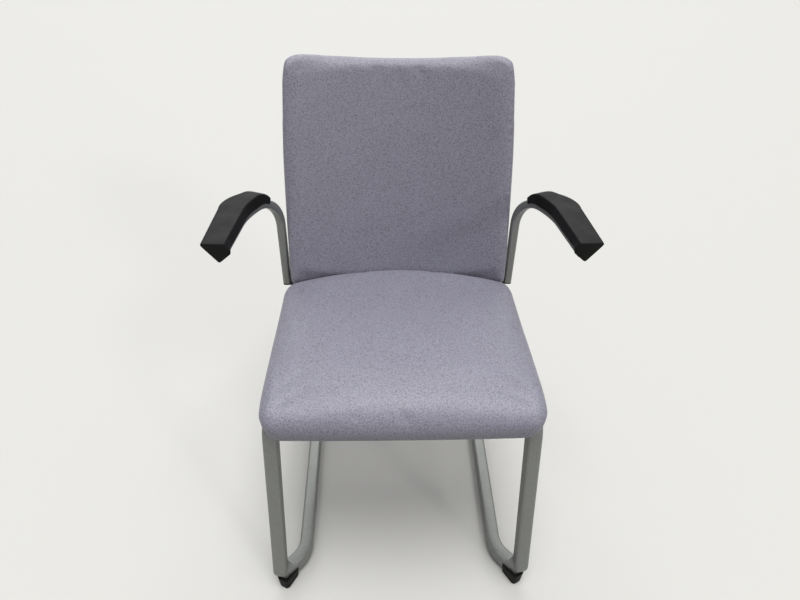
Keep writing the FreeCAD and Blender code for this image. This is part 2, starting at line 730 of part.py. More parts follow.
def back_screw_hole(place, diameter):
    """Hole on one back screw."""
    length = BACK_SCREW_HEAD + shell_front_reach() + 2 * BACK_LUMBAR
    return rod(place + BACK_OUT * BACK_SCREW_HEAD, BACK_SCREW_WAY, length, diameter)


def back_spacer(place, pad):
    """Plastic washer between bar and back, shaped to the back."""
    base = place + BACK_SCREW_WAY * SUPPORT_THICK
    disc = rod(base, BACK_SCREW_WAY, SUPPORT_SPACER_GAP * 2, BACK_SPACER_DIAMETER)
    disc = largest(disc.cut(pad))
    return disc.cut(back_screw_hole(place, BACK_SCREW_DIAMETER + 2 * SCREW_CLEARANCE))


def back_tee_nut(place, shell):
    """Threaded barrel in the shell."""
    barrel = rod(place + BACK_OUT * BACK_SCREW_HEAD, BACK_SCREW_WAY, BACK_THICK * 2, TEE_NUT_DIAMETER)
    return largest(barrel.common(shell)).cut(back_screw_hole(place, BACK_SCREW_DIAMETER))


# Arms, right hand side

ARM_BASE = Vec(ARM_X, ARM_Y, ARM_FOOT_Z)
ARM_KNEE = Vec(ARM_X, ARM_Y, ARM_REAR_Z)
ARM_TURN = Vec(ARM_TURN_X, ARM_TURN_Y, ARM_REAR_Z)
ARM_TIP = Vec(ARM_FRONT_X, ARM_FRONT_Y, ARM_FRONT_Z)
ARM_OUT_RUN = unit(ARM_TURN - ARM_KNEE)
ARM_PAD_RUN = unit(ARM_TIP - ARM_TURN)
ARM_PATH = [ARM_BASE, ARM_KNEE, ARM_TURN, ARM_TIP]
ARM_BENDS = [ARM_RISE_BEND, ARM_TURN_BEND]
ARM_WIDES = [X_AXIS, across(ARM_OUT_RUN) * -1, across(ARM_PAD_RUN) * -1]
ARM_INNER_X = ARM_X - ARM_WIDE / 2


def arm_hole(base, direction, length, diameter):
    """Clear hole for a screw of a diameter."""
    return rod(base, direction, length, diameter + 2 * SCREW_CLEARANCE)


def pad_screw_places():
    """Points under the arm tube where the pad screws go in."""
    places = []
    tilt = abs(ARM_PAD_RUN.z)
    drop = (ARM_DEEP / 2 + PAD_SCREW_HEAD / 2 * tilt) / math.sqrt(1 - tilt * tilt)
    for y in (PAD_SCREW_FRONT_Y, PAD_SCREW_REAR_Y):
        share = (y - ARM_TURN_Y) / (ARM_FRONT_Y - ARM_TURN_Y)
        middle = ARM_TURN + (ARM_TIP - ARM_TURN) * share
        places.append(middle - Z_AXIS * drop)
    return places


def pad_screw(place):
    """Screw up through the arm tube into the pad."""
    head = rod(place, Z_AXIS * -1, PAD_SCREW_HEAD_HEIGHT, PAD_SCREW_HEAD)
    return head.fuse(rod(place, Z_AXIS, ARM_DEEP + PAD_SCREW_GRIP, PAD_SCREW_DIAMETER))


def arm_bolt_places():
    """Middles of the arm's inner face where its bolts go in."""
    return [Vec(ARM_INNER_X, ARM_Y, z) for z in (ARM_BOLT_LOW_Z, ARM_BOLT_HIGH_Z)]


def arm_tube():
    """Arm from the seat's rear corner up, out and forward under its pad."""
    tube = bent_tube(ARM_PATH, ARM_BENDS, ARM_WIDES, ARM_WIDE, ARM_DEEP, ARM_CORNER, ARM_WALL)
    for place in arm_bolt_places():
        tube = tube.cut(arm_hole(place - X_AXIS * HOLE_OVERRUN, X_AXIS, ARM_WIDE / 2, BOLT_DIAMETER))
    for place in pad_screw_places():
        through = ARM_DEEP + 2 * HOLE_OVERRUN
        tube = tube.cut(arm_hole(place - Z_AXIS * HOLE_OVERRUN, Z_AXIS, through, PAD_SCREW_DIAMETER))
    return tube


def arm_plug():
    """Plastic plug in the lower end of the arm."""
    inside = 2 * (ARM_WALL + PLUG_CLEARANCE)
    flange_end = ARM_BASE - Z_AXIS * ARM_PLUG_HEIGHT
    flange = straight_bar(flange_end, ARM_BASE, X_AXIS, ARM_WIDE, ARM_DEEP, ARM_CORNER)
    plug = straight_bar(ARM_BASE, ARM_BASE + Z_AXIS * ARM_PLUG_DEPTH, X_AXIS, ARM_WIDE - inside,
                        ARM_DEEP - inside, ARM_CORNER - ARM_WALL - PLUG_CLEARANCE)
    return flange.fuse(plug)


def rounded_outline(points, radius):
    """Closed wire of a flat polygon with rounded corners."""
    edges = []
    count = len(points)
    ends = []
    for index, knee in enumerate(points):
        run_in = unit(knee - points[index - 1])
        run_out = unit(points[(index + 1) % count] - knee)
        turn = run_in.getAngle(run_out)
        reach = radius * math.tan(turn / 2)
        crest = radius * (1 / math.cos(turn / 2) - 1)
        middle = knee + unit(run_out - run_in) * crest
        ends.append((knee - run_in * reach, middle, knee + run_out * reach))
    for index, (first, middle, last) in enumerate(ends):
        edges.append(arc(first, middle, last))
        edges.append(Part.LineSegment(last, ends[(index + 1) % count][0]).toShape())
    return Part.Wire(edges)


def pad_section(frame, outer, above, fullness):
    """Wedge section of the pad round the arm tube, slimmer where fullness is less than one."""
    place, tangent, out = frame
    up = tangent.cross(out)
    slim = ARM_WIDE / 2 + PAD_TIP_OVERHANG
    slim_top = ARM_DEEP / 2 + PAD_TIP_RISE
    full = ((outer, above),
            (-PAD_INNER_TOP, above),
            (-PAD_INNER_LOW, PAD_ABOVE_NOSE - PAD_LOW_DROP),
            (PAD_KEEL_OUT, PAD_ABOVE_NOSE - PAD_KEEL_DROP))
    thin = ((slim, slim_top), (-slim, slim_top), (-slim, 0.0), (slim, 0.0))
    points = []
    for (full_out, full_up), (thin_out, thin_up) in zip(full, thin):
        reach = thin_out + (full_out - thin_out) * fullness
        rise = thin_up + (full_up - thin_up) * fullness
        points.append(place + out * reach + up * rise)
    return rounded_outline(points, PAD_CORNER)


def arm_pad():
    """Black wedge shaped pad that wraps the arm and curves down at its rear."""
    bend = (ARM_PATH, ARM_BENDS, ARM_WIDES)
    tip = PAD_TIP_DEG / 90
    sections = []
    rise_steps = len(PAD_RISE_FULLNESS) - 1
    for step, fullness in enumerate(PAD_RISE_FULLNESS):
        frame = bend_frame(*bend, 0, tip + (1 - tip) * step / rise_steps)
        sections.append(pad_section(frame, PAD_OUTER_REAR, PAD_ABOVE_REAR, fullness))
    for step, fullness in enumerate(PAD_TURN_FULLNESS):
        frame = bend_frame(*bend, 1, (step + 1) / len(PAD_TURN_FULLNESS))
        sections.append(pad_section(frame, PAD_OUTER_REAR, PAD_ABOVE_REAR, fullness))
    nose = (ARM_TIP + ARM_PAD_RUN * PAD_NOSE, ARM_PAD_RUN, square_to(ARM_WIDES[2], ARM_PAD_RUN))
    nose_section = pad_section(nose, PAD_OUTER_NOSE, PAD_ABOVE_NOSE, 1.0)
    straight = Part.makeLoft([sections[-1], nose_section], True, True)
    pad = Part.makeLoft(sections, True, False).fuse(straight)
    channel = bent_bar(ARM_PATH, ARM_BENDS, ARM_WIDES, ARM_WIDE + 2 * PAD_CLEARANCE,
                       ARM_DEEP + 2 * PAD_CLEARANCE, ARM_CORNER + PAD_CLEARANCE)
    pad = largest(pad.cut(channel))
    for place in pad_screw_places():
        pad = pad.cut(rod(place, Z_AXIS, ARM_DEEP + PAD_SCREW_GRIP, PAD_SCREW_DIAMETER))
    return pad


# Brackets that hold the arms to the rails

def bracket_inner_x():
    """Inner face of the bracket, clear of the widest place of the rail beside it."""
    return rail_x(ARM_Y - BRACKET_LONG / 2) + TUBE_WIDE / 2 / RAIL_RUN.y + BRACKET_CLEARANCE


def bracket_outer_x():
    """Outer face of the bracket, against the arm."""
    return ARM_INNER_X - BRACKET_CLEARANCE


def bracket_bolt_places():
    """Points on the bracket's outer face where the rail bolts go in."""
    return [Vec(bracket_outer_x(), ARM_Y + way * BOLT_SPACING / 2, RAIL_Z) for way in (1, -1)]


def bracket_bolt(place):
    """Bolt through bracket and rail wall."""
    head = rod(place, X_AXIS, BOLT_HEAD_HEIGHT, BOLT_HEAD)
    return head.fuse(rod(place, X_AXIS * -1, place.x - bracket_inner_x() + BOLT_GRIP, BOLT_DIAMETER))


def arm_bolt(place):
    """Bolt through bracket and arm wall, with its head towards the back."""
    seat = Vec(bracket_inner_x(), place.y, place.z)
    head = rod(seat, X_AXIS * -1, BOLT_HEAD_HEIGHT, BOLT_HEAD)
    return head.fuse(rod(seat, X_AXIS, place.x - seat.x + BOLT_GRIP, BOLT_DIAMETER))


def bracket():
    """Black plate between the right rail and the foot of the arm."""
    low = RAIL_Z - TUBE_DEEP / 2
    height = BRACKET_TOP_Z - low
    centre = Vec(bracket_inner_x(), ARM_Y, low + height / 2)
    outline = rounded_section(centre, Vec(0, 1, 0), Z_AXIS, BRACKET_LONG, height, BRACKET_CORNER)
    plate = Part.Face(outline).extrude(X_AXIS * (bracket_outer_x() - bracket_inner_x()))
    for place in bracket_bolt_places() + arm_bolt_places():
        plate = plate.cut(arm_hole(place - X_AXIS * ARM_WIDE, X_AXIS, ARM_WIDE * 2, BOLT_DIAMETER))
    return plate


# Whole chair, one entry per piece

def seat_pieces():
    """Seat pan, foam, cover and what fastens them."""
    places = seat_screw_places()
    nuts = [seat_tee_nut(place) for place in places]
    pan = seat_pan()
    inside = seat_body(COVER_THICK)
    foam = seat_body(COVER_THICK + FOAM_CLEARANCE).common(inside).cut(pan)
    cover = seat_body(0).cut(inside)
    for place, nut in zip(places, nuts):
        pan = pan.cut(rod(Vec(place.x, place.y, SEAT_UNDER_Z), Z_AXIS, SEAT_PAN_THICK * 2, TEE_NUT_DIAMETER))
        foam = foam.cut(nut).cut(seat_screw_hole(place, TEE_NUT_DIAMETER).common(pan_room(place)))
        cover = cover.cut(cover_hole(place))
    return {
        "seat_pan": pan,
        "seat_foam": largest(foam),
        "seat_cover": largest(cover),
        "seat_spacers": Part.makeCompound([seat_spacer(place) for place in places]),
        "seat_screws": Part.makeCompound([seat_screw(place) for place in places]),
        "seat_tee_nuts": Part.makeCompound(nuts),
    }


def pan_room(place):
    """Space of the tee nut from the pan's underside to the top of its flange."""
    base = Vec(place.x, place.y, SEAT_UNDER_Z + COVER_THICK)
    return rod(base, Z_AXIS, SEAT_PAN_THICK + TEE_NUT_FLANGE_THICK, TEE_NUT_FLANGE)


def cover_hole(place):
    """Hole in the underside of the seat cover for one screw."""
    base = Vec(place.x, place.y, SEAT_UNDER_Z - COVER_THICK)
    return rod(base, Z_AXIS, COVER_THICK * 3, TEE_NUT_DIAMETER)


def back_pieces():
    """Back shell, foam, cover, supports and what fastens them."""
    places = back_screw_places()
    pad = back_body(0, 0, 0)
    inside = back_body(COVER_THICK, COVER_THICK, COVER_THICK)
    cover = pad.cut(inside)
    shell_front = BACK_THICK - COVER_THICK - BACK_SHELL_THICK
    shell = largest(back_body(BACK_SHELL_MARGIN, shell_front, COVER_THICK).common(inside))
    foam_margin = COVER_THICK + FOAM_CLEARANCE
    foam = back_body(foam_margin, foam_margin, foam_margin).common(inside).cut(shell)
    nuts = [back_tee_nut(place, shell) for place in places]
    spacers = [back_spacer(place, pad) for place in places]
    for place in places:
        hole = back_screw_hole(place, TEE_NUT_DIAMETER)
        shell = shell.cut(hole)
        cover = cover.cut(hole)
        foam = foam.cut(hole)
    support = support_bar()
    return {
        "back_shell": shell,
        "back_foam": largest(foam),
        "back_cover": largest(cover),
        "back_support_right": support,
        "back_support_left": mirrored(support),
        "back_spacers": Part.makeCompound(spacers),
        "back_screws": Part.makeCompound([back_screw(place) for place in places]),
        "back_tee_nuts": Part.makeCompound(nuts),
    }


def frame_pieces():
    """Floor frame, legs, rails, cross tubes and feet."""
    runner = runner_tube().cut(glide_screw_hole(FRONT_SCREW))
    glide = front_glide()
    leg = leg_tube()
    rail = rail_tube()
    screws = [glide_screw(FRONT_SCREW), glide_screw(REAR_SCREW)]
    return {
        "right_runner": runner,
        "left_runner": mirrored(runner),
        "rear_floor_bar": rear_bar_tube().cut(both_sides(glide_screw_hole(REAR_SCREW))),
        "runner_joiners": both_sides(joiner()),
        "front_glide_right": glide,
        "front_glide_left": mirrored(glide),
        "rear_glides": both_sides(rear_glide()),
        "glide_screws": Part.makeCompound(screws + [mirrored(screw) for screw in screws]),
        "right_front_leg": leg,
        "left_front_leg": mirrored(leg),
        "right_seat_rail": rail,
        "left_seat_rail": mirrored(rail),
        "front_cross_tube": cross_tube(FRONT_CROSS_Y),
        "rear_cross_tube": cross_tube(REAR_CROSS_Y),
        "rail_end_caps": both_sides(end_cap()),
    }


def arm_pieces():
    """Arms, pads, brackets and what fastens them."""
    tube = arm_tube()
    pad = arm_pad()
    plate = bracket()
    rail_bolts = [bracket_bolt(place) for place in bracket_bolt_places()]
    arm_bolts = [arm_bolt(place) for place in arm_bolt_places()]
    pad_screws = [pad_screw(place) for place in pad_screw_places()]
    return {
        "arm_tube_right": tube,
        "arm_tube_left": mirrored(tube),
        "arm_tube_plugs": both_sides(arm_plug()),
        "arm_pad_right": pad,
        "arm_pad_left": mirrored(pad),
        "arm_pad_screws": both_sides(Part.makeCompound(pad_screws)),
        "arm_bracket_right": plate,
        "arm_bracket_left": mirrored(plate),
        "arm_bracket_bolts": both_sides(Part.makeCompound(rail_bolts)),
        "arm_tube_bolts": both_sides(Part.makeCompound(arm_bolts)),
    }


def whole_chair():
    """Every piece of the chair by name."""
    pieces = {}
    for group in (frame_pieces(), seat_pieces(), back_pieces(), arm_pieces()):
        pieces.update(group)
    return pieces


os.makedirs("parts", exist_ok=True)
for name, shape in whole_chair().items():
    shape.exportStep("parts/" + name + ".step")
    state = "valid" if shape.isValid() else "NOT VALID"
    print(name, len(shape.Solids), "solids", round(shape.Volume / 1000, 2), "cm3", state)
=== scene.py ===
"""Cantilever conference chair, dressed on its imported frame.

The frame gives every hard piece its shape and place. This script upholsters the seat and
the back, makes the two side tubes that spring, gives every surface its finish, and sets
the chair in a plain studio.
"""

import json
import logging
import math
from dataclasses import dataclass, field
from enum import Enum
from typing import Callable, Optional, Sequence

import bmesh
import bpy
from bpy.types import Material, Node, NodeSocket, NodeTree, Object
from mathutils import Matrix, Vector

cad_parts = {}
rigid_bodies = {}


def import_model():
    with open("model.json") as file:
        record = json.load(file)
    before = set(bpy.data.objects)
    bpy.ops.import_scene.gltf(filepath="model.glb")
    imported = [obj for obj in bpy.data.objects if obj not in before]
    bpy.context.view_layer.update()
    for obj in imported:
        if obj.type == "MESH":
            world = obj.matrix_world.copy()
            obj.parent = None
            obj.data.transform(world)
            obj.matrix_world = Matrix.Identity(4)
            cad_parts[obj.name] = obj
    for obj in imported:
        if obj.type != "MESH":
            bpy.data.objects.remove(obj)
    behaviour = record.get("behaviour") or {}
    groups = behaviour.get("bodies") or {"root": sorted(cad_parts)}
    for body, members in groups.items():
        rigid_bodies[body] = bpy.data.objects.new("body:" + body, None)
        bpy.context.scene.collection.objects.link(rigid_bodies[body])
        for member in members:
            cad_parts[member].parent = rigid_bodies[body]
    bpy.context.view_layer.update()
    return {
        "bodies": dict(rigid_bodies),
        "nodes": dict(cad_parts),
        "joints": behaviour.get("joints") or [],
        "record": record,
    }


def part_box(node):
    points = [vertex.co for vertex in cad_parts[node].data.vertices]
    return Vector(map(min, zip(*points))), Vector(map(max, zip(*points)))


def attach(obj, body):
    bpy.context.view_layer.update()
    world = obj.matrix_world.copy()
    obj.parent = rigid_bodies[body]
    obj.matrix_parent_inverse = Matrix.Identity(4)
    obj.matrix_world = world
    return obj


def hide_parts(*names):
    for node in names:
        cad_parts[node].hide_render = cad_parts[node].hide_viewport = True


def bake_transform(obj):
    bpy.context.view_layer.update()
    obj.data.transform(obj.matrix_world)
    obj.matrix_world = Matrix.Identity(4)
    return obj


LOG = logging.getLogger("conference_chair")
MM = 0.001

# Directions that several pieces share
UP = Vector((0.0, 0.0, 1.0))
ASIDE = Vector((1.0, 0.0, 0.0))
BACK_LEAN = math.radians(15.3)
BACK_UP = Vector((0.0, math.sin(BACK_LEAN), math.cos(BACK_LEAN)))
BACK_OUT = Vector((0.0, math.cos(BACK_LEAN), -math.sin(BACK_LEAN)))
BACK_CURVE = 545.0 * MM

# Colour sockets of the mix node, whose names are also those of its plain number sockets
MIX_FIRST, MIX_SECOND, MIX_RESULT = 6, 7, 2

# Cloth that swells the covers, and how many frames it runs
COVER_CLOTH = {"quality": 6, "mass": 0.4, "tension_stiffness": 25.0, "compression_stiffness": 25.0,
               "shear_stiffness": 12.0, "bending_stiffness": 4.0, "use_pressure": True}
COVER_FRAMES = 20

Flat = tuple[float, float]
Triple = tuple[float, float, float]
Ring = list[Vector]
Stop = tuple[Vector, Vector, Vector]
Held = Callable[[Vector], bool]


class Body(Enum):
    """Moving bodies of the chair."""

    BASE = "base"
    SEAT = "seat"


class Side(Enum):
    """The two hands of the chair, by the sign of their X."""

    RIGHT = 1
    LEFT = -1

    @property
    def word(self) -> str:
        """Name of the side as the frame's nodes spell it."""
        return self.name.lower()


class Slot(Enum):
    """Material slots of the record."""

    FRAME_PAINT = "frame_paint"
    BLACK_STEEL = "black_steel"
    ZINC_STEEL = "zinc_steel"
    BLACK_PLASTIC = "black_plastic"
    PAD_PLASTIC = "pad_plastic"
    PLY = "ply"
    FOAM = "foam"
    UPHOLSTERY = "upholstery"


# Colours and nodes

def linear(hex_colour: str) -> tuple[float, float, float, float]:
    """Turn an sRGB hex colour into linear light.

    Args:
        hex_colour: colour such as "#8A8893".

    Returns:
        Red, green, blue and alpha for a colour socket.
    """
    shares = [int(hex_colour[place:place + 2], 16) / 255 for place in (1, 3, 5)]
    light = [s / 12.92 if s <= 0.04045 else ((s + 0.055) / 1.055) ** 2.4 for s in shares]
    return light[0], light[1], light[2], 1.0


def add_node(tree: NodeTree, kind: str, values: Optional[dict] = None, links: Optional[dict] = None,
             **settings: object) -> Node:
    """Add one shader node with its settings, values and links.

    Args:
        tree: node tree of the material.
        kind: node type after its first part, such as "TexNoise".
        values: input values by socket name or number.
        links: feeding output sockets by input name or number.
        settings: properties of the node itself.

    Returns:
        The new node.
    """
    node = tree.nodes.new("ShaderNode" + kind)
    for name, setting in settings.items():
        setattr(node, name, setting)
    for socket, value in (values or {}).items():
        node.inputs[socket].default_value = value
    for socket, source in (links or {}).items():
        tree.links.new(source, node.inputs[socket])
    return node


def per_metre(millimetres: float) -> float:
    """Texture scale that repeats once in a real size."""
    return 1.0 / (millimetres * MM)


def blank_material(name: str, colour: str, plain: dict[str, float]) -> tuple[Material, NodeTree, Node]:
    """Start a material with its shader's plain values set.

    Args:
        name: name of the finish.
        colour: sRGB hex colour.
        plain: values of other shader sockets by name.

    Returns:
        Material, node tree and shader node.
    """
    material = bpy.data.materials.new(name)
    material.use_nodes = True
    material.diffuse_color = linear(colour)
    shader = material.node_tree.nodes["Principled BSDF"]
    for socket, value in ({"Base Color": linear(colour)} | plain).items():
        shader.inputs[socket].default_value = value
    return material, material.node_tree, shader


def two_tones(tree: NodeTree, factor: NodeSocket, band: Flat, first: str, last: str) -> NodeSocket:
    """Mix two tones by a pattern.

    Args:
        tree: node tree of the material.
        factor: output socket of the pattern.
        band: values of the pattern at which the first tone ends and the last one starts.
        first: sRGB hex colour of the first tone.
        last: sRGB hex colour of the last tone.

    Returns:
        Output socket of the colour.
    """
    ramp = add_node(tree, "ValToRGB", links={"Fac": factor})
    for element, place, colour in zip(ramp.color_ramp.elements, band, (first, last)):
        element.position = place
        element.color = linear(colour)
    return ramp.outputs["Color"]


# Finishes

@dataclass(frozen=True)
class Grain:
    """Cloudy pattern of a real size."""

    size_mm: float
    detail: float
    roughness: float = 0.5
    kind: str = "TexNoise"
    outlet: str = "Fac"

    def values(self) -> dict[str, float]:
        """Values of the pattern's sockets."""
        return {"Scale": per_metre(self.size_mm), "Detail": self.detail, "Roughness": self.roughness}


@dataclass(frozen=True)
class Spots:
    """Pattern of round spots, from rows at scatter 0 to no order at 1."""

    size_mm: float
    scatter: float
    kind: str = "TexVoronoi"
    outlet: str = "Distance"

    def values(self) -> dict[str, float]:
        """Values of the pattern's sockets."""
        return {"Scale": per_metre(self.size_mm), "Randomness": self.scatter}


@dataclass(frozen=True)
class CrepeFabric:
    """Wool blend crepe, woven from crinkled yarns of two tones.

    The eye sees a fine pebbled speckle with a soft gloss on its rounded edges and no direction.
    The pebbles of the real cloth are about 1 mm, and they are drawn at twice that so that they show.
    """

    name: str = "wool_crepe"
    light: str = "#9A98A8"
    dark: str = "#6C6A78"
    mean: str = "#8A8897"
    worn: str = "#F8F8F8"
    fresh: str = "#FFFFFF"
    pebble: Spots = Spots(2.2, 1.0)
    yarn: Grain = Grain(3.0, 4.0, 0.7)
    patch: Grain = Grain(70.0, 3.0)
    speckle_band: Flat = (0.05, 0.42)
    patch_band: Flat = (0.3, 0.7)
    relief_mm: float = 0.4
    relief_strength: float = 0.6
    roughness: float = 0.55
    specular: float = 1.0
    sheen: float = 0.2
    sheen_roughness: float = 0.5

    def material(self) -> Material:
        """Weave the cloth.

        Returns:
            Its material.
        """
        plain = {"Roughness": self.roughness, "Specular IOR Level": self.specular,
                 "Sheen Weight": self.sheen, "Sheen Roughness": self.sheen_roughness}
        material, tree, shader = blank_material(self.name, self.mean, plain)
        place = {"Vector": add_node(tree, "TexCoord").outputs["Object"]}
        pebble, yarn, patch = (add_node(tree, pattern.kind, pattern.values(), place).outputs[pattern.outlet]
                               for pattern in (self.pebble, self.yarn, self.patch))
        speckle = add_node(tree, "Math", links={0: pebble, 1: yarn}, operation="MULTIPLY").outputs[0]
        tones = two_tones(tree, speckle, self.speckle_band, self.light, self.dark)
        wear = two_tones(tree, patch, self.patch_band, self.worn, self.fresh)
        colour = add_node(tree, "Mix", {"Factor": 1.0}, {MIX_FIRST: tones, MIX_SECOND: wear},
                          data_type="RGBA", blend_type="MULTIPLY")
        bump = add_node(tree, "Bump", {"Strength": self.relief_strength, "Distance": self.relief_mm * MM},
                        {"Height": speckle}, invert=True)
        tree.links.new(colour.outputs[MIX_RESULT], shader.inputs["Base Color"])
        tree.links.new(bump.outputs["Normal"], shader.inputs["Normal"])
        return material


@dataclass(frozen=True)
class Finish:
    """What the other finishes share: two tones, and where they have it a rubbed gloss and a relief.

    The gloss is how far the roughness falls and rises from its plain value.
    """

    name: str
    light: str
    dark: str
    roughness: float
    metallic: float = 0.0
    specular: float = 0.5
    stretch: Triple = (1.0, 1.0, 1.0)
    tone: Grain | Spots = Grain(1.1, 2.0)
    tone_band: Flat = (0.35, 0.65)
    rub: Optional[Grain] = None
    rub_band: Flat = (0.3, 0.7)
    gloss: Flat = (-0.05, 0.07)
    relief: Grain | Spots | None = None
    relief_mm: float = 0.05
    relief_strength: float = 0.2

    def material(self) -> Material:
        """Build the finish.

        Returns:
            Its material.
        """
        plain = {"Roughness": self.roughness, "Metallic": self.metallic, "Specular IOR Level": self.specular}
        material, tree, shader = blank_material(self.name, self.light, plain)
        place = {"Vector": add_node(tree, "TexCoord").outputs["Object"]}
        place = {"Vector": add_node(tree, "Mapping", {"Scale": self.stretch}, place).outputs["Vector"]}
        tone, rub, relief = (
            pattern and add_node(tree, pattern.kind, pattern.values(), place).outputs[pattern.outlet]
            for pattern in (self.tone, self.rub, self.relief))
        tones = two_tones(tree, tone, self.tone_band, self.dark, self.light)
        tree.links.new(tones, shader.inputs["Base Color"])
        if self.rub:
            limits = {"From Min": self.rub_band[0], "From Max": self.rub_band[1],
                      "To Min": self.roughness + self.gloss[0], "To Max": self.roughness + self.gloss[1]}
            dull = add_node(tree, "MapRange", limits, {"Value": rub})
            tree.links.new(dull.outputs["Result"], shader.inputs["Roughness"])
        if self.relief:
            depth = {"Strength": self.relief_strength, "Distance": self.relief_mm * MM}
            bump = add_node(tree, "Bump", depth, {"Height": relief})
            tree.links.new(bump.outputs["Normal"], shader.inputs["Normal"])
        return material


@dataclass(frozen=True)
class PowderCoat(Finish):
    """Powder coat baked on steel: faint orange peel, and metal flake where it is silver."""

    rub: Optional[Grain] = Grain(60.0, 6.0, 0.65)
    relief: Grain | Spots | None = Grain(3.0, 1.0)
    relief_strength: float = 0.35


@dataclass(frozen=True)
class MouldedPlastic(Finish):
    """Injection moulded plastic with a spark eroded grain and rubbed high spots."""

    tone: Grain | Spots = Grain(35.0, 5.0, 0.6)
    tone_band: Flat = (0.3, 0.75)
    rub: Optional[Grain] = Grain(35.0, 5.0, 0.6)
    gloss: Flat = (-0.06, 0.08)
    relief: Grain | Spots | None = Grain(1.0, 3.0, 0.6)
    relief_mm: float = 0.06
    relief_strength: float = 0.4


@dataclass(frozen=True)
class MouldedFoam(MouldedPlastic):
    """Polyurethane foam under the covers: pale and dull, with open cells."""

    relief: Grain | Spots | None = Grain(2.0, 3.0, 0.6)


@dataclass(frozen=True)
class ZincSteel(Finish):
    """Zinc plated steel of bolts and screws, with fine turning marks and dull patches."""

    metallic: float = 1.0
    tone: Grain | Spots = Grain(6.0, 5.0)
    relief: Grain | Spots | None = Grain(1.2, 2.0)


@dataclass(frozen=True)
class BirchPly(Finish):
    """Rotary cut birch veneer of the hidden pan and shell: pale, with long soft figure."""

    stretch: Triple = (1.0, 0.08, 1.0)
    tone: Grain | Spots = Grain(14.0, 6.0, 0.6)
    tone_band: Flat = (0.3, 0.7)


@dataclass(frozen=True)
class NonWoven(Finish):
    """Spunbonded cloth of the dust cover: dull, with a grid of tiny pressed spots."""

    tone: Grain | Spots = Spots(3.0, 0.15)
    tone_band: Flat = (0.15, 0.4)
    relief: Grain | Spots | None = Spots(3.0, 0.15)
    relief_mm: float = 0.2
    relief_strength: float = 0.5


DUST_CLOTH = NonWoven("black_non_woven", "#242425", "#161617", 0.95)
FINISHES = {
    Slot.FRAME_PAINT: PowderCoat("silver_powder_coat", "#939592", "#7C7E7B", 0.4, 0.45),
    Slot.BLACK_STEEL: PowderCoat("black_powder_coat", "#1E1E1F", "#161617", 0.5),
    Slot.ZINC_STEEL: ZincSteel("zinc_plated_steel", "#B9BBBD", "#8F9294", 0.32),
    Slot.BLACK_PLASTIC: MouldedPlastic("black_nylon", "#0C0C0B", "#070707", 0.6, specular=0.15),
    Slot.PAD_PLASTIC: MouldedPlastic("black_polypropylene", "#151514", "#0F0F0E", 0.52, specular=0.14),
    Slot.PLY: BirchPly("birch_ply", "#D9BE94", "#B8976A", 0.6),
    Slot.FOAM: MouldedFoam("polyurethane_foam", "#D8CFB4", "#C4BA9C", 0.9, specular=0.4),
    Slot.UPHOLSTERY: CrepeFabric(),
}


# Modelling

def pick(*pieces: Object) -> None:
    """Select only these pieces, the first one active.

    Args:
        pieces: objects to pick.
    """
    bpy.ops.object.select_all(action="DESELECT")
    for piece in pieces:
        piece.select_set(True)
    bpy.context.view_layer.objects.active = pieces[0]


def named(name: str) -> Object:
    """Name the active piece and its mesh.

    Args:
        name: name of the piece.

    Returns:
        The piece.
    """
    piece = bpy.context.object
    piece.name = name
    piece.data.name = name
    return piece


def apply_modifiers(piece: Object) -> None:
    """Apply all of a piece's modifiers in order.

    Args:
        piece: object that has the modifiers.
    """
    pick(piece)
    for modifier in list(piece.modifiers):
        bpy.ops.object.modifier_apply(modifier=modifier.name)


def dress(piece: Object, material: Material, sharp_deg: float) -> None:
    """Give a piece its material, and shade it smooth except across sharp edges.

    Args:
        piece: object to dress.
        material: its only material.
        sharp_deg: angle beyond which an edge stays sharp.
    """
    piece.data.materials.clear()
    piece.data.materials.append(material)
    pick(piece)
    bpy.ops.object.shade_smooth_by_angle(angle=math.radians(sharp_deg))


def face_outwards() -> None:
    """Turn all faces of the active piece outwards, and leave edit mode."""
    bpy.ops.object.mode_set(mode="EDIT")
    bpy.ops.mesh.select_all(action="SELECT")
    bpy.ops.mesh.normals_make_consistent(inside=False)
    bpy.ops.object.mode_set(mode="OBJECT")


def loft(name: str, rings: Sequence[Ring]) -> Object:
    """Model a closed form by extruding a disc from ring to ring.

    Args:
        name: name of the piece.
        rings: rows of points, each with the same count and order.

    Returns:
        The new piece, with outward faces.
    """
    bpy.ops.object.select_all(action="DESELECT")
    bpy.ops.mesh.primitive_circle_add(vertices=len(rings[0]), fill_type="NGON")
    piece = named(name)
    bpy.ops.object.mode_set(mode="EDIT")
    bpy.ops.mesh.select_all(action="SELECT")
    mesh = bmesh.from_edit_mesh(piece.data)
    order = mesh.verts.layers.int.new("ring_order")
    mesh.verts.ensure_lookup_table()
    for number, vert in enumerate(mesh.verts):
        vert[order] = number
    for count, ring in enumerate(rings):
        if count:
            bpy.ops.mesh.extrude_region_move()
        mesh = bmesh.from_edit_mesh(piece.data)
        order = mesh.verts.layers.int["ring_order"]
        for vert in mesh.verts:
            if vert.select:
                vert.co = ring[vert[order]]
        bmesh.update_edit_mesh(piece.data)
    face_outwards()
    piece.data.attributes.remove(piece.data.attributes["ring_order"])
    return piece


def mirrored(piece: Object, name: str) -> Object:
    """Copy a right hand piece to the left, with a mesh of its own.

    Args:
        piece: right hand piece.
        name: name of the copy.

    Returns:
        The left hand piece.
    """
    pick(piece)
    bpy.ops.object.duplicate(linked=False)
    twin = named(name)
    twin.scale.x = -1.0
    bpy.ops.object.transform_apply(location=False, rotation=False, scale=True)
    face_outwards()
    return twin


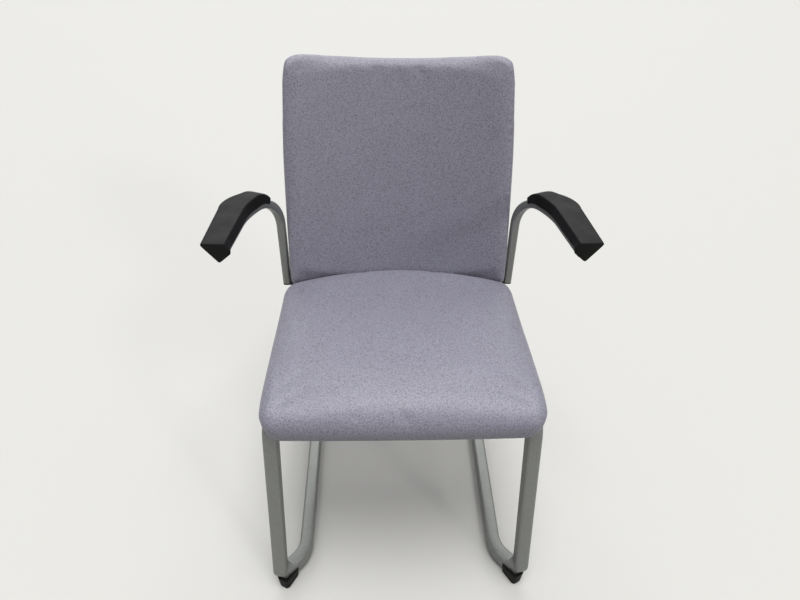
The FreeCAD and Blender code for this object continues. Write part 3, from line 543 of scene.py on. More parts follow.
def swell(piece: Object, held: Held, cap: float, pressure: float) -> None:
    """Blow a cover up softly over its filling with cloth, and keep the result.

    Args:
        piece: closed mesh of the cover.
        held: tells from a point's normal whether it is fastened.
        cap: furthest that a point may move, in metres.
        pressure: pressure inside the cloth.
    """
    rest = [vert.co.copy() for vert in piece.data.vertices]
    group = piece.vertex_groups.new(name="fastened")
    group.add([vert.index for vert in piece.data.vertices if held(vert.normal)], 1.0, "REPLACE")
    modifier = piece.modifiers.new("cover", "CLOTH")
    cloth = modifier.settings
    for setting, value in COVER_CLOTH.items():
        setattr(cloth, setting, value)
    cloth.uniform_pressure_force = pressure
    cloth.vertex_group_mass = group.name
    cloth.effector_weights.gravity = 0.0
    modifier.collision_settings.use_collision = False
    modifier.point_cache.frame_start = 1
    modifier.point_cache.frame_end = COVER_FRAMES
    scene = bpy.context.scene
    for frame in range(1, COVER_FRAMES + 1):
        scene.frame_set(frame)
    apply_modifiers(piece)
    furthest = 0.0
    for vert, start in zip(piece.data.vertices, rest):
        move = vert.co - start
        furthest = max(furthest, move.length)
        if move.length > cap:
            vert.co = start + move * (cap / move.length)
    LOG.info("%s: its cover moved %.1f mm at most before the cap", piece.name, furthest / MM)
    scene.frame_set(1)
    piece.vertex_groups.clear()


# Lines and outlines

def place_mm(x: float, y: float, z: float) -> Vector:
    """Dataclass field for a place that is given in millimetres."""
    return field(default_factory=lambda: Vector((x, y, z)) * MM)


def square_to(direction: Vector, tangent: Vector) -> Vector:
    """Unit part of a direction that is square to a tangent."""
    return (direction - tangent * direction.dot(tangent)).normalized()


def round_off(depth: float, radius: float) -> float:
    """How far a rounded edge has drawn in at a depth from the side."""
    left = max(radius - depth, 0.0)
    return radius - math.sqrt(max(0.0, radius * radius - left * left))


def spread(first: float, last: float, count: int) -> list[float]:
    """Evenly spaced values from first up to, but without, last."""
    return [first + (last - first) * step / count for step in range(count)]


def run(start: Flat, end: Flat, count: int) -> list[Flat]:
    """Points along a straight line from its start up to, but without, its end."""
    return list(zip(spread(start[0], end[0], count), spread(start[1], end[1], count)))


def arc(centre: Flat, first: Flat, second: Flat, count: int, sweep: float = math.pi / 2) -> list[Flat]:
    """Points round part of an ellipse, up to but without its end.

    Args:
        centre: middle of the ellipse.
        first: from the middle to the first point.
        second: from the middle to the point a quarter turn on.
        count: number of points.
        sweep: angle that the arc covers.

    Returns:
        The points.
    """
    points = []
    for angle in spread(0.0, sweep, count):
        near, far = math.cos(angle), math.sin(angle)
        points.append((centre[0] + first[0] * near + second[0] * far,
                       centre[1] + first[1] * near + second[1] * far))
    return points


@dataclass
class CentreLine:
    """Straight runs joined by bends, with the way that the width lies on each run."""

    points: Sequence[Vector]
    radii: Sequence[float]
    wides: Sequence[Vector]
    bend_step_deg: float = 5.0
    fewest_steps: int = 3

    def runs(self) -> list[Vector]:
        """Direction of each straight run."""
        return [(after - before).normalized() for before, after in zip(self.points, self.points[1:])]

    def bend(self, index: int, share: float) -> Stop:
        """Find a place part of the way round one bend.

        Args:
            index: number of the bend.
            share: share of the bend, from 0 to 1.

        Returns:
            Place, direction and width direction.
        """
        run_in, run_out = self.runs()[index:index + 2]
        turn = run_in.angle(run_out)
        inward = square_to(run_out, run_in)
        radius = self.radii[index]
        start = self.points[index + 1] - run_in * (radius * math.tan(turn / 2))
        angle = turn * share
        place = start + run_in * (radius * math.sin(angle)) + inward * (radius * (1 - math.cos(angle)))
        way = run_in * math.cos(angle) + inward * math.sin(angle)
        wide_in = square_to(self.wides[index], run_in)
        wide_out = square_to(self.wides[index + 1], run_out)
        return place, way, square_to(wide_in.lerp(wide_out, share), way)

    def stops(self, longest_step: float) -> list[Stop]:
        """Walk the line from end to end.

        Args:
            longest_step: furthest that two places may lie apart.

        Returns:
            Places, each with its direction and width direction.
        """
        runs = self.runs()
        ends = [(self.points[end], runs[end], square_to(self.wides[end], runs[end])) for end in (0, -1)]
        stops = ends[:1]
        for index in range(len(self.radii)):
            turn_deg = math.degrees(runs[index].angle(runs[index + 1]))
            steps = max(self.fewest_steps, math.ceil(turn_deg / self.bend_step_deg))
            stops += [self.bend(index, step / steps) for step in range(steps + 1)]
        stops += ends[1:]
        filled = stops[:1]
        for before, after in zip(stops, stops[1:]):
            extra = max(1, math.ceil((after[0] - before[0]).length / longest_step))
            for step in range(1, extra + 1):
                place, way, wide = (old.lerp(new, step / extra) for old, new in zip(before, after))
                way.normalize()
                filled.append((place, way, square_to(wide, way)))
        return filled


# Upholstery

@dataclass
class Upholstery:
    """What the padded seat and the padded back share: a lofted pad, remeshed, swollen and covered."""

    voxel: float = 5.0 * MM
    cap: float = 4.0 * MM
    pressure: float = 1.2
    smoothing: float = 0.5
    relax_steps: int = 3
    settle_steps: int = 5
    facing_held: float = 0.8
    corner_steps: int = 9
    corner_sweep_deg: float = 86.0
    level_steps: int = 14
    inset: float = 0.6 * MM

    def stations(self, half: float, corner: float) -> list[float]:
        """Places across the pad, closer together at the rounded corners.

        Args:
            half: half the width of the pad.
            corner: radius of its corners.

        Returns:
            Places from left to right.
        """
        level = half - corner
        right = spread(level / self.level_steps, level, self.level_steps - 1)
        for step in range(self.corner_steps + 1):
            angle = math.radians(self.corner_sweep_deg) * step / self.corner_steps
            right.append(level + corner * math.sin(angle))
        return [-x for x in reversed(right)] + [0.0] + right

    def finish_pad(self, piece: Object, held: Held, material: Material, *nodes: str) -> None:
        """Remesh a lofted pad evenly, swell its cover, subdivide it and cover it with cloth.

        Args:
            piece: lofted pad.
            held: tells from a point's normal whether the cover is fastened there.
            material: cloth of the cover.
            nodes: soft solids that the pad stands for.
        """
        remesh = piece.modifiers.new("even", "REMESH")
        remesh.mode = "VOXEL"
        remesh.voxel_size = self.voxel
        relax = piece.modifiers.new("relax", "SMOOTH")
        relax.factor = self.smoothing
        relax.iterations = self.relax_steps
        apply_modifiers(piece)
        swell(piece, held, self.cap, self.pressure)
        settle = piece.modifiers.new("settle", "SMOOTH")
        settle.factor = self.smoothing
        settle.iterations = self.settle_steps
        fine = piece.modifiers.new("fine", "SUBSURF")
        fine.levels = 1
        fine.render_levels = 1
        apply_modifiers(piece)
        dress(piece, material, sharp_deg=180.0)
        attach(piece, Body.SEAT.value)
        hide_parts(*nodes)


@dataclass
class SeatPad(Upholstery):
    """Upholstered seat: a crowned deck that rolls down over the front edge into a lip."""

    crown_share: float = 0.207
    rear_drop: float = 6.0 * MM
    side_fall: float = 6.0 * MM
    edge_radius: float = 20.0 * MM
    corner_radius: float = 32.0 * MM
    spare: float = 3.5 * MM
    rear_corner: float = 18.0 * MM
    rear_radius: float = 7.0 * MM
    rear_round_share: float = 0.6
    lip_thick: float = 24.5 * MM
    lip_drop: float = 38.0 * MM
    lip_least: float = 3.0 * MM
    lip_bow: float = 4.0 * MM
    lip_rise_share: float = 1.6
    belly_share: float = 0.4
    roll_steps: int = 14
    lip_steps: int = 8
    round_steps: int = 6
    heel_steps: int = 3
    rear_steps: int = 4
    deck_steps: int = 16

    def ring(self, x: float, low: Vector, high: Vector) -> Ring:
        """One upright slice of the pad.

        Args:
            x: place of the slice across the seat.
            low: lowest corner of the cover's box.
            high: highest corner of the cover's box.

        Returns:
            Points round the slice.
        """
        half = high.x + self.spare
        depth = max(half - abs(x), 0.0)
        share = x / half
        corner = round_off(depth, self.corner_radius)
        fall = self.side_fall * share * share + round_off(depth, self.edge_radius) + self.inset
        crown = high.z - fall
        crown_y = low.y + (high.y - low.y) * self.crown_share
        rear_top = crown - self.rear_drop
        front = low.y + corner + self.inset
        rear = high.y - x * x / (2 * BACK_CURVE) - round_off(depth, self.rear_corner)
        under = low.z + self.lip_drop
        rise = self.lip_bow * share * share + self.lip_rise_share * corner
        lip_low = min(low.z + rise, under - self.lip_least) + self.inset
        lip_back = low.y + corner + self.lip_thick
        lip_mid = (front + lip_back) / 2
        belly = lip_low + self.belly_share * (crown - lip_low)
        heel = (lip_low + under) / 2
        turn = min(self.rear_radius, self.rear_round_share * (rear_top - under))
        points = arc((crown_y, belly), (0.0, crown - belly), (front - crown_y, 0.0), self.roll_steps)
        points += arc((lip_mid, belly), (front - lip_mid, 0.0), (0.0, lip_low - belly), self.lip_steps)
        points += arc((lip_mid, heel), (0.0, lip_low - heel), (lip_back - lip_mid, 0.0), self.round_steps)
        points += run((lip_back, heel), (lip_back, under), self.heel_steps)
        points += run((lip_back, under), (rear, under), self.deck_steps)
        points += run((rear, under), (rear, rear_top - turn), self.rear_steps)
        points += arc((rear - turn, rear_top - turn), (turn, 0.0), (0.0, turn), self.round_steps)
        for reach, y in run((0.0, rear - turn), (1.0, crown_y), self.deck_steps):
            points.append((y, rear_top + self.rear_drop * reach * (2 - reach)))
        return [Vector((x, y, z)) for y, z in points]

    def build(self, material: Material) -> Object:
        """Make the seat's padded cover over its foam.

        Args:
            material: cloth of the cover.

        Returns:
            The padded piece.
        """
        low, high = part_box("seat_cover")
        places = self.stations(high.x + self.spare, self.corner_radius)
        piece = loft("seat_upholstery", [self.ring(x, low, high) for x in places])
        self.finish_pad(piece, lambda normal: normal.z < -self.facing_held, material,
                        "seat_cover", "seat_foam")
        return piece


@dataclass
class BackPad(Upholstery):
    """Upholstered back: leaning, hollowed across, with a slight lumbar swell and rounded corners."""

    voxel: float = 5.2 * MM
    thick: float = 36.0 * MM
    foot_z: float = 428.0 * MM
    foot_y: float = 157.5 * MM
    top_z: float = 858.0 * MM
    lumbar: float = 5.0 * MM
    top_dip: float = 4.0 * MM
    corner_radius: float = 42.0 * MM
    edge_radius: float = 14.0 * MM
    pinch_share: float = 0.35
    taper: float = 9.0 * MM
    taper_length: float = 190.0 * MM
    low_corner: float = 14.0 * MM
    tuck: float = 12.0 * MM
    spare: float = 2.0 * MM
    face_steps: int = 24
    edge_steps: int = 12

    def ring(self, x: float, half: float) -> Ring:
        """One upright slice of the back.

        Args:
            x: place of the slice across the back.
            half: half the width of the back.

        Returns:
            Points round the slice.
        """
        height = (self.top_z - self.foot_z) / math.cos(BACK_LEAN)
        depth = max(half - abs(x), 0.0)
        corner = round_off(depth, self.corner_radius)
        dip = self.top_dip * (1 - min(1.0, (x / (half - self.corner_radius)) ** 2))
        taper = self.taper_length * max(0.0, 1 - depth / self.taper)
        low = round_off(depth, self.low_corner) - self.tuck
        high = height + self.inset - dip - max(corner, taper)
        thick = self.thick - 2 * self.inset
        pinch = min(round_off(depth, self.edge_radius), self.pinch_share * thick)
        bow = -x * x / (2 * BACK_CURVE)
        front = bow + self.inset + pinch
        rear = bow + self.thick - pinch
        middle = (front + rear) / 2
        nose = (rear - front) / 2
        low_turn, high_turn = low + nose, high - nose
        points = []
        for reach, up in run((0.0, low_turn), (1.0, high_turn), self.face_steps):
            points.append((up, front - self.lumbar * math.sin(math.pi * reach)))
        points += arc((high_turn, middle), (0.0, -nose), (nose, 0.0), self.edge_steps, math.pi)
        points += run((high_turn, rear), (low_turn, rear), self.face_steps)
        points += arc((low_turn, middle), (0.0, nose), (-nose, 0.0), self.edge_steps, math.pi)
        foot = Vector((x, self.foot_y, self.foot_z))
        return [foot + BACK_UP * up + BACK_OUT * out for up, out in points]

    def build(self, material: Material) -> Object:
        """Make the back's padded cover over its foam.

        Args:
            material: cloth of the cover.

        Returns:
            The padded piece.
        """
        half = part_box("back_cover")[1].x + self.spare
        places = self.stations(half, self.corner_radius)
        piece = loft("back_upholstery", [self.ring(x, half) for x in places])
        self.finish_pad(piece, lambda normal: normal.y > self.facing_held, material,
                        "back_cover", "back_foam")
        return piece


# Tubes

@dataclass
class BentTube:
    """Rounded rectangular tube along a bent line."""

    wide: float
    deep: float
    corner: float
    longest_step: float = 14.0 * MM
    corner_steps: int = 5

    def section(self) -> list[Flat]:
        """Draw the tube's outline.

        Returns:
            Points as reach along its width and its depth.
        """
        outline = []
        for quarter in range(4):
            middle = math.radians(45.0 + 90.0 * quarter)
            centre_w = math.copysign(self.wide / 2 - self.corner, math.cos(middle))
            centre_d = math.copysign(self.deep / 2 - self.corner, math.sin(middle))
            for step in range(self.corner_steps + 1):
                angle = math.radians(90.0 * (quarter + step / self.corner_steps))
                outline.append((centre_w + self.corner * math.cos(angle),
                                centre_d + self.corner * math.sin(angle)))
        return outline

    def build(self, name: str, line: CentreLine) -> Object:
        """Model the tube.

        Args:
            name: name of the piece.
            line: its centre line.

        Returns:
            The tube, closed at its ends.
        """
        outline = self.section()
        rings = []
        for place, way, wide in line.stops(self.longest_step):
            deep = way.cross(wide)
            rings.append([place + wide * across + deep * up for across, up in outline])
        return loft(name, rings)


@dataclass
class SideFrame:
    """One side of the springing frame: runner, joggle, foot bend, leg, top bend and rail in one tube."""

    wide: float = 25.0 * MM
    deep: float = 30.0 * MM
    corner: float = 5.0 * MM
    rail_end: Vector = place_mm(212.0, 172.0, 398.0)
    foot: Vector = place_mm(234.0, -289.0, 24.0)
    joggle: Vector = place_mm(190.5, -241.0, 24.0)
    leg_lean_deg: float = 8.9
    leg_top_x: float = 224.0 * MM
    flare_deg: float = 1.0
    runner_end_y: float = 110.0 * MM
    rail_bend: float = 45.0 * MM
    foot_bend: float = 26.0 * MM
    joggle_bend: float = 60.0 * MM
    still_below: float = 53.0 * MM
    springs_to: float = 360.0 * MM

    def line(self) -> CentreLine:
        """Bend the right side's centre line.

        Returns:
            The line from the rail's rear end to the runner's.
        """
        lean, flare = (math.tan(math.radians(angle)) for angle in (self.leg_lean_deg, self.flare_deg))
        rise = self.rail_end.z - self.foot.z
        top = Vector((self.leg_top_x, self.foot.y + rise * lean, self.rail_end.z))
        reach = self.runner_end_y - self.joggle.y
        end = Vector((self.joggle.x + reach * flare, self.runner_end_y, self.joggle.z))
        points = [self.rail_end, top, self.foot, self.joggle, end]
        level = [(after - before).cross(UP).normalized() for before, after in zip(points, points[1:])]
        return CentreLine(points, [self.rail_bend, self.foot_bend, self.joggle_bend],
                          [-level[0], ASIDE, level[2], level[3]])

    def build(self, material: Material) -> list[Object]:
        """Make both sides, each as one tube.

        Args:
            material: coat of the tube.

        Returns:
            The right and the left side.
        """
        right = BentTube(self.wide, self.deep, self.corner).build("side_frame_right", self.line())
        dress(right, material, sharp_deg=40.0)
        left = mirrored(right, "side_frame_left")
        for side, piece in zip(Side, (right, left)):
            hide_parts(f"{side.word}_runner", f"{side.word}_front_leg", f"{side.word}_seat_rail")
            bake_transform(piece)
        return [right, left]


# Arms

@dataclass
class ArmPads:
    """Moulded arm pads: flat topped wedges on the arms that curl down over their rear bend."""

    base: Vector = place_mm(238.5, 152.0, 417.0)
    knee: Vector = place_mm(238.5, 152.0, 630.0)
    turn: Vector = place_mm(287.0, 50.0, 630.0)
    tip: Vector = place_mm(291.0, -106.0, 645.0)
    rise_bend: float = 75.0 * MM
    turn_bend: float = 150.0 * MM
    tube_half: float = 8.75 * MM
    above_nose: float = 26.0 * MM
    above_rear: float = 29.0 * MM
    outer_nose: float = 28.5 * MM
    outer_rear: float = 37.0 * MM
    inner_top: float = 13.0 * MM
    inner_low: float = 16.0 * MM
    inner_nose: float = 21.5 * MM
    low_drop: float = 17.0 * MM
    keel_out: float = -1.0 * MM
    keel_drop: float = 34.0 * MM
    nose_reach: float = 19.0 * MM
    nose_grip: float = 24.0 * MM
    edge: float = 4.0 * MM
    nose_edge: float = 1.8 * MM
    nose_turns_deg: tuple[float, ...] = (0.0, 30.0, 60.0, 90.0)
    tip_share: float = 0.71
    tip_rise: float = 14.0 * MM
    tip_overhang: float = 1.5 * MM
    rise_fullness: float = 0.92
    rise_power: float = 1.35
    outer_start: float = 0.7
    outer_power: int = 3
    turn_bulge: float = 0.55
    rise_steps: int = 12
    turn_steps: int = 10
    straight_steps: int = 12
    corner_steps: int = 4

    def line(self) -> CentreLine:
        """Bend the right arm's centre line.

        Returns:
            The line from the arm's foot to its tip.
        """
        points = [self.base, self.knee, self.turn, self.tip]
        wides = [UP.cross(after - before).normalized() for before, after in zip(points[1:], points[2:])]
        return CentreLine(points, [self.rise_bend, self.turn_bend], [ASIDE] + wides)

    def outline(self, outer: float, above: float, inner: float, fullness: float) -> list[Vector]:
        """Draw a rounded wedge round the arm.

        Args:
            outer: reach of the top to the outside.
            above: height of the top over the arm's middle.
            inner: reach of the lower inner corner.
            fullness: 1 for the whole wedge, 0 for a thin wrap on the arm.

        Returns:
            Points as reach outwards and height.
        """
        full = ((outer, above), (-self.inner_top, above), (-inner, self.above_nose - self.low_drop),
                (self.keel_out, self.above_nose - self.keel_drop))
        slim = self.tube_half + self.tip_overhang
        thin = ((slim, self.tip_rise), (-slim, self.tip_rise), (-slim, 0.0), (slim, 0.0))
        knees = [Vector(few).lerp(Vector(many), fullness) for many, few in zip(full, thin)]
        points = []
        for index, knee in enumerate(knees):
            run_in = (knee - knees[index - 1]).normalized()
            run_out = (knees[(index + 1) % len(knees)] - knee).normalized()
            reach = self.edge * math.tan(run_in.angle(run_out) / 2)
            for step in range(self.corner_steps + 1):
                share = step / self.corner_steps
                before = knee - run_in * (reach * (1 - share))
                after = knee + run_out * (reach * share)
                points.append(before.lerp(after, share))
        return points

    def ring(self, stop: Stop, outline: Sequence[Vector], ahead: float = 0.0, shrink: float = 0.0) -> Ring:
        """Set an outline square on the arm's line.

        Args:
            stop: place, direction and width direction on the arm.
            outline: points as reach outwards and height.
            ahead: how far the outline moves along the arm.
            shrink: how far the outline is drawn in.

        Returns:
            The ring's points.
        """
        place, way, out = stop
        up = way.cross(out)
        middle = sum(outline, Vector((0.0, 0.0))) / len(outline)
        points = []
        for point in outline:
            flat = point + (middle - point).normalized() * shrink
            points.append(place + way * ahead + out * flat.x + up * flat.y)
        return points

    def curl(self, line: CentreLine) -> list[Ring]:
        """Draw the rings from the rear tip up and round the arm's two bends.

        Args:
            line: centre line of the arm.

        Returns:
            Rings up to the end of the second bend.
        """
        rings = []
        outer = self.outer_rear * self.outer_start
        for step in range(self.rise_steps + 1):
            share = step / self.rise_steps
            fullness = self.rise_fullness * (1 - (1 - share) ** self.rise_power)
            stop = line.bend(0, self.tip_share + (1 - self.tip_share) * share)
            outline = self.outline(outer, self.above_rear, self.inner_low, fullness)
            if step == 0:
                rings.append(self.ring(stop, outline, -self.nose_edge, self.nose_edge))
            rings.append(self.ring(stop, outline))
        for step in range(1, self.turn_steps + 1):
            share = step / self.turn_steps
            left = 1 - share
            grown = 1 - (1 - self.outer_start) * left ** self.outer_power + self.turn_bulge * share * left
            fullness = self.rise_fullness + (1 - self.rise_fullness) * share
            outline = self.outline(self.outer_rear * grown, self.above_rear, self.inner_low, fullness)
            rings.append(self.ring(line.bend(1, share), outline))
        return rings

    def straight(self, line: CentreLine) -> list[Ring]:
        """Draw the rings along the straight arm, with the rounded nose at its end.

        Args:
            line: centre line of the arm.

        Returns:
            Rings from the second bend to the nose.
        """
        start = line.bend(1, 1.0)
        length = (self.tip - start[0]).length + self.nose_reach
        rings = []
        for step in range(1, self.straight_steps + 1):
            share = step / self.straight_steps
            far = length * share
            grip = max(0.0, 1 - (length - far) / self.nose_grip)
            outline = self.outline(self.outer_rear + (self.outer_nose - self.outer_rear) * share,
                                   self.above_rear + (self.above_nose - self.above_rear) * share,
                                   self.inner_low + (self.inner_nose - self.inner_low) * grip, 1.0)
            if step < self.straight_steps:
                rings.append(self.ring(start, outline, far))
                continue
            for angle in map(math.radians, self.nose_turns_deg):
                back = self.nose_edge * (1 - math.sin(angle))
                rings.append(self.ring(start, outline, far - back, self.nose_edge * (1 - math.cos(angle))))
        return rings

    def build(self, material: Material) -> list[Object]:
        """Make both pads.

        Args:
            material: plastic of the pads.

        Returns:
            The right and the left pad.
        """
        line = self.line()
        right = loft("arm_rest_right", self.curl(line) + self.straight(line))
        dress(right, material, sharp_deg=50.0)
        left = mirrored(right, "arm_rest_left")
        for side, piece in zip(Side, (right, left)):
            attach(piece, Body.SEAT.value)
            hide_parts(f"arm_pad_{side.word}")
        return [right, left]


# Underside and fixings

@dataclass
class DustCover:
    """Black cloth stapled under the seat, with its edge folded in."""

    wide: float = 372.0 * MM
    front: float = -236.0 * MM
    rear: float = 92.0 * MM
    level: float = 416.4 * MM
    sag: float = 1.2 * MM
    hem: float = 10.0 * MM
    hem_layers: float = 1.5
    thick: float = 0.4 * MM
    cells: int = 30
    staple_long: float = 10.0 * MM
    staple_deep: float = 4.0 * MM
    staple_bend: float = 0.8 * MM
    staple_gap: float = 31.0 * MM
    staple_inset: float = 6.0 * MM
    staple_layers: float = 3.0

    def sheet(self, material: Material) -> Object:
        """Make the cloth.

        Args:
            material: cloth of the cover.

        Returns:
            The stretched sheet.
        """
        length = self.rear - self.front
        middle = (0.0, (self.front + self.rear) / 2, self.level)
        bpy.ops.object.select_all(action="DESELECT")
        bpy.ops.mesh.primitive_grid_add(x_subdivisions=self.cells, y_subdivisions=self.cells, size=1.0)
        piece = named("dust_cover")
        bpy.ops.object.mode_set(mode="EDIT")
        bpy.ops.mesh.select_all(action="SELECT")
        bpy.ops.transform.resize(value=(self.wide, length, 1.0), center_override=(0.0, 0.0, 0.0))
        bpy.ops.transform.translate(value=middle)
        mesh = bmesh.from_edit_mesh(piece.data)
        for vert in mesh.verts:
            across = math.cos(math.pi * vert.co.x / self.wide)
            along = math.sin(math.pi * (vert.co.y - self.front) / length)
            vert.co.z -= self.sag * max(0.0, across) * max(0.0, along)
        bmesh.update_edit_mesh(piece.data)
        bpy.ops.mesh.select_all(action="SELECT")
        bpy.ops.mesh.region_to_loop()
        bpy.ops.mesh.extrude_edges_move()
        shrink = 1 - 2 * self.hem / self.wide
        bpy.ops.transform.resize(value=(shrink, shrink, 1.0), center_override=middle)
        bpy.ops.transform.translate(value=(0.0, 0.0, -self.hem_layers * self.thick))
        bpy.ops.object.mode_set(mode="OBJECT")
        piece.modifiers.new("body", "SOLIDIFY").thickness = self.thick
        apply_modifiers(piece)
        dress(piece, material, sharp_deg=60.0)
        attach(piece, Body.SEAT.value)
        return piece

    def staples(self, material: Material) -> Object:
        """Make the staples round the cover's edge.

        Args:
            material: steel of the staples.

        Returns:
            All staples in one piece.
        """
        near = Vector((-self.staple_long / 2, 0.0, 0.0))
        legs = UP * self.staple_deep
        line = CentreLine([near + legs, near, -near, legs - near], [self.staple_bend] * 2,
                          [Vector((0.0, 1.0, 0.0))] * 3, bend_step_deg=30.0)
        wire = BentTube(wide=1.2 * MM, deep=0.6 * MM, corner=0.2 * MM, corner_steps=2)
        first = wire.build("staple", line)
        edge = self.wide / 2 - self.staple_inset
        low, high = self.front + self.staple_inset, self.rear - self.staple_inset
        along, across = (int(reach / self.staple_gap) for reach in (high - low, 2 * edge))
        places = []
        for side in Side:
            places += [(side.value * edge, low + (high - low) * (step + 0.5) / along, math.pi / 2)
                       for step in range(along)]
        for y in (low, high):
            places += [(-edge + 2 * edge * (step + 0.5) / across, y, 0.0) for step in range(across)]
        bottom = self.level - self.staple_layers * self.thick
        copies = []
        for x, y, turn in places:
            pick(first)
            bpy.ops.object.duplicate(linked=False)
            copies.append(bpy.context.object)
            shift = Matrix.Translation((x, y, bottom)) @ Matrix.Rotation(turn, 4, "Z")
            copies[-1].data.transform(shift)
        bpy.data.objects.remove(first)
        pick(*copies)
        bpy.ops.object.join()
        piece = named("dust_cover_staples")
        dress(piece, material, sharp_deg=40.0)
        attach(piece, Body.SEAT.value)
        return piece


@dataclass
class BoltHeads:
    """Button heads with hexagon sockets on the screws and bolts that show.

    The profile gives each level of the dome as shares of its width and its height.
    """

    socket: float = 4.0 * MM
    spare: float = 0.2 * MM
    skirt: float = 1.5 * MM
    dome: float = 1.4 * MM
    profile: tuple[Flat, ...] = ((1.0, 0.2), (0.94, 0.65), (0.8, 1.0))
    socket_floor: float = 0.1
    points: int = 36
    same_level: float = 0.05 * MM
    same_place: float = 0.01 * MM

    def fixings(self) -> dict[str, Vector]:
        """Nodes of fixings, each with the way its heads face on the right hand side."""
        return {"back_screws": BACK_OUT, "arm_bracket_bolts": ASIDE, "arm_tube_bolts": -ASIDE,
                "arm_pad_screws": -UP, "seat_screws": -UP}

    def islands(self, node: Object) -> list[list[Vector]]:
        """Part a node into its separate fixings.

        Args:
            node: node that holds several fixings.

        Returns:
            Points of each fixing.
        """
        mesh = bmesh.new()
        mesh.from_mesh(node.data)
        bmesh.ops.remove_doubles(mesh, verts=mesh.verts, dist=self.same_place)
        seen = set()
        found = []
        for start in mesh.verts:
            island, queue = [], [start]
            while queue:
                vert = queue.pop()
                if vert not in seen:
                    seen.add(vert)
                    island.append(vert.co.copy())
                    queue += [edge.other_vert(vert) for edge in vert.link_edges]
            if island:
                found.append(island)
        mesh.free()
        return found

    def head(self, middle: Vector, radius: float, way: Vector) -> Object:
        """Model one head on the end of a fixing.

        Args:
            middle: middle of the fixing's end.
            radius: radius of the fixing's end.
            way: the way that the end faces.

        Returns:
            The head.
        """
        turn = way.to_track_quat("Z", "Y")
        wide = radius + self.spare
        levels = [(wide, -self.skirt)]
        levels += [(wide * reach, self.dome * height) for reach, height in self.profile]
        levels += [(0.0, self.dome), (0.0, self.dome * self.socket_floor)]
        rings = []
        for reach, height in levels:
            ring = []
            for angle in spread(0.0, 2 * math.pi, self.points):
                sixth = (angle + math.pi / 6) % (math.pi / 3) - math.pi / 6
                far = reach or self.socket / 2 / math.cos(sixth)
                ring.append(middle + turn @ Vector((far * math.cos(angle), far * math.sin(angle), height)))
            rings.append(ring)
        return loft("bolt_head", rings)

    def build(self, frame: dict, material: Material) -> Object:
        """Make all heads.

        Args:
            frame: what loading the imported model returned.
            material: steel of the heads.

        Returns:
            All heads in one piece.
        """
        heads = []
        for name, way in self.fixings().items():
            for island in self.islands(frame["nodes"][name]):
                aside = sum(point.x for point in island)
                facing = Vector((math.copysign(way.x, way.x * aside), way.y, way.z))
                level = max(point.dot(facing) for point in island)
                end = [point for point in island if level - point.dot(facing) < self.same_level]
                middle = sum(end, Vector()) / len(end)
                radius = max((point - middle).length for point in end)
                heads.append(self.head(middle, radius, facing))
        pick(*heads)
        bpy.ops.object.join()
        piece = named("bolt_heads")
        dress(piece, material, sharp_deg=30.0)
        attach(piece, Body.SEAT.value)
        return piece


def dress_nodes(frame: dict, materials: dict[Slot, Material]) -> None:
    """Give every piece whose shape comes from the frame the material of its slot.

    Args:
        frame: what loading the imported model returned.
        materials: material of each slot.
    """
    for part in frame["record"]["subparts"]:
        node = frame["nodes"][part["node"]]
        node.data.materials.clear()
        node.data.materials.append(materials[Slot(part["material_slot"])])


# Studio

@dataclass(frozen=True)
class Sun:
    """Far soft light: the way to it, its strength, and how wide it looks, which softens its shadows."""

    name: str
    towards: Triple
    strength: float
    spread_deg: float

    def hang(self) -> None:
        """Hang the light and aim it at the chair."""
        way = Vector(self.towards)
        bpy.ops.object.select_all(action="DESELECT")
        bpy.ops.object.light_add(type="SUN", location=way)
        lamp = named(self.name)
        lamp.data.energy = self.strength
        lamp.data.angle = math.radians(self.spread_deg)
        lamp.rotation_euler = (-way).to_track_quat("-Z", "Y").to_euler()


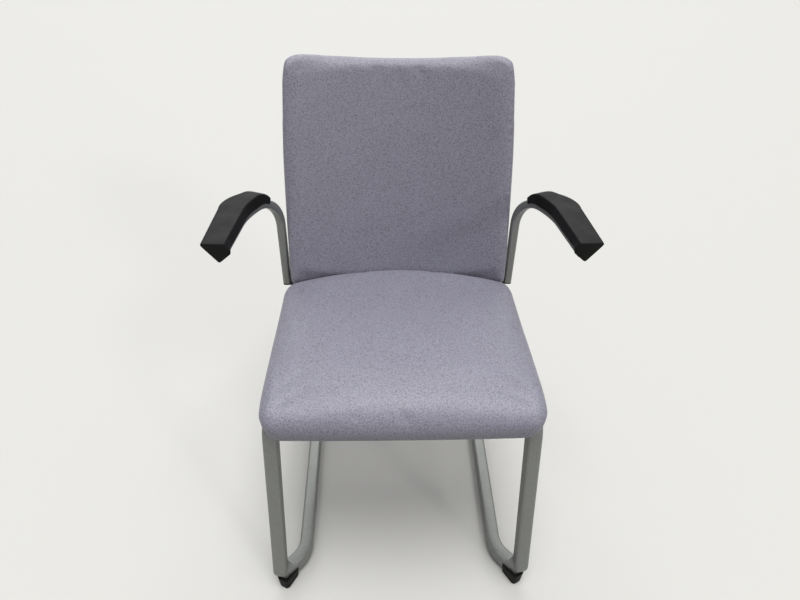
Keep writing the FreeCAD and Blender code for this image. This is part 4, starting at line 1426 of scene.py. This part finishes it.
@dataclass
class Studio:
    """Pale floor, soft light and the camera. The floor looks paler than the light that it throws back."""

    floor_size: float = 40.0
    floor_colour: str = "#D0CFCB"
    floor_bounce: str = "#74736F"
    floor_roughness: float = 0.75
    floor_specular: float = 0.2
    world_colour: str = "#E9EAEC"
    world_low: float = 0.1
    world_high: float = 0.62
    world_seen: float = 0.75
    suns: tuple[Sun, ...] = (Sun("ceiling", (0.05, -0.15, 0.98), 2.15, 35.0),
                             Sun("front_right", (0.6, -0.72, 0.42), 0.35, 8.0),
                             Sun("rear_wall", (0.0, 0.75, 0.66), 1.1, 50.0))
    sensor_mm: float = 36.0
    lens_mm: float = 27.13
    camera_place: Triple = (-0.0359, -0.9358, 1.1504)
    pitch_deg: float = 35.75
    pan_deg: float = 2.17
    roll_deg: float = 0.96

    def seen(self, tree: NodeTree) -> NodeSocket:
        """Tell rays of the camera and of reflections from those that only light.

        Args:
            tree: node tree of the floor or the world.

        Returns:
            Socket that is 1 for what is seen and 0 for what lights.
        """
        path = add_node(tree, "LightPath").outputs
        return add_node(tree, "Math", links={0: path["Is Camera Ray"], 1: path["Is Glossy Ray"]},
                        operation="MAXIMUM").outputs[0]

    def floor(self) -> None:
        """Lay the floor."""
        bpy.ops.object.select_all(action="DESELECT")
        bpy.ops.mesh.primitive_plane_add(size=self.floor_size)
        floor = named("studio_floor")
        plain = {"Roughness": self.floor_roughness, "Specular IOR Level": self.floor_specular}
        material, tree, shader = blank_material("studio_floor", self.floor_colour, plain)
        tones = two_tones(tree, self.seen(tree), (0.0, 1.0), self.floor_bounce, self.floor_colour)
        tree.links.new(tones, shader.inputs["Base Color"])
        floor.data.materials.append(material)

    def light(self) -> None:
        """Light the room: a bright ceiling, a lamp at the front right, a pale wall behind, a soft sky."""
        for sun in self.suns:
            sun.hang()
        world = bpy.data.worlds.new("studio")
        world.use_nodes = True
        tree = world.node_tree
        way = add_node(tree, "TexCoord").outputs["Generated"]
        height = add_node(tree, "SeparateXYZ", links={0: way}).outputs["Z"]
        glow = add_node(tree, "MapRange", {"To Min": self.world_low, "To Max": self.world_high},
                        {"Value": height})
        pale = add_node(tree, "Math", {1: self.world_seen}, {0: self.seen(tree)}, operation="MULTIPLY")
        strength = add_node(tree, "Math", links={0: glow.outputs["Result"], 1: pale.outputs[0]},
                            operation="MAXIMUM")
        background = tree.nodes["Background"]
        background.inputs["Color"].default_value = linear(self.world_colour)
        tree.links.new(strength.outputs[0], background.inputs["Strength"])
        bpy.context.scene.world = world

    def camera(self) -> None:
        """Stand the camera where the photograph was taken."""
        pitch, pan, roll = map(math.radians, (self.pitch_deg, self.pan_deg, self.roll_deg))
        ahead = Vector((math.sin(pan) * math.cos(pitch), math.cos(pan) * math.cos(pitch), -math.sin(pitch)))
        level = Vector((math.cos(pan), -math.sin(pan), 0.0))
        upward = level.cross(ahead)
        right = level * math.cos(roll) + upward * math.sin(roll)
        upward = upward * math.cos(roll) - level * math.sin(roll)
        turn = Matrix((right, upward, -ahead)).transposed()
        data = bpy.data.cameras.new("photograph_view")
        data.sensor_width = self.sensor_mm
        data.lens = self.lens_mm
        camera = bpy.data.objects.new("photograph_view", data)
        camera.matrix_world = Matrix.Translation(self.camera_place) @ turn.to_4x4()
        bpy.context.scene.collection.objects.link(camera)
        bpy.context.scene.camera = camera

    def build(self) -> None:
        """Make the floor, the lights and the camera."""
        self.floor()
        self.light()
        self.camera()
        bpy.context.scene.view_settings.view_transform = "Standard"


def main() -> None:
    """Dress the frame piece by piece and set up the studio."""
    logging.basicConfig(level=logging.INFO, format="%(name)s: %(message)s")
    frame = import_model()
    Studio().build()
    materials = {slot: finish.material() for slot, finish in FINISHES.items()}
    dress_nodes(frame, materials)
    pieces = [pad.build(materials[Slot.UPHOLSTERY]) for pad in (SeatPad(), BackPad())]
    pieces += SideFrame().build(materials[Slot.FRAME_PAINT])
    pieces += ArmPads().build(materials[Slot.PAD_PLASTIC])
    cover = DustCover()
    pieces += [cover.sheet(DUST_CLOTH.material()), cover.staples(materials[Slot.ZINC_STEEL])]
    pieces.append(BoltHeads().build(frame, materials[Slot.ZINC_STEEL]))
    for piece in pieces:
        LOG.info("%s: %d faces", piece.name, len(piece.data.polygons))


if __name__ == "__main__":
    main()
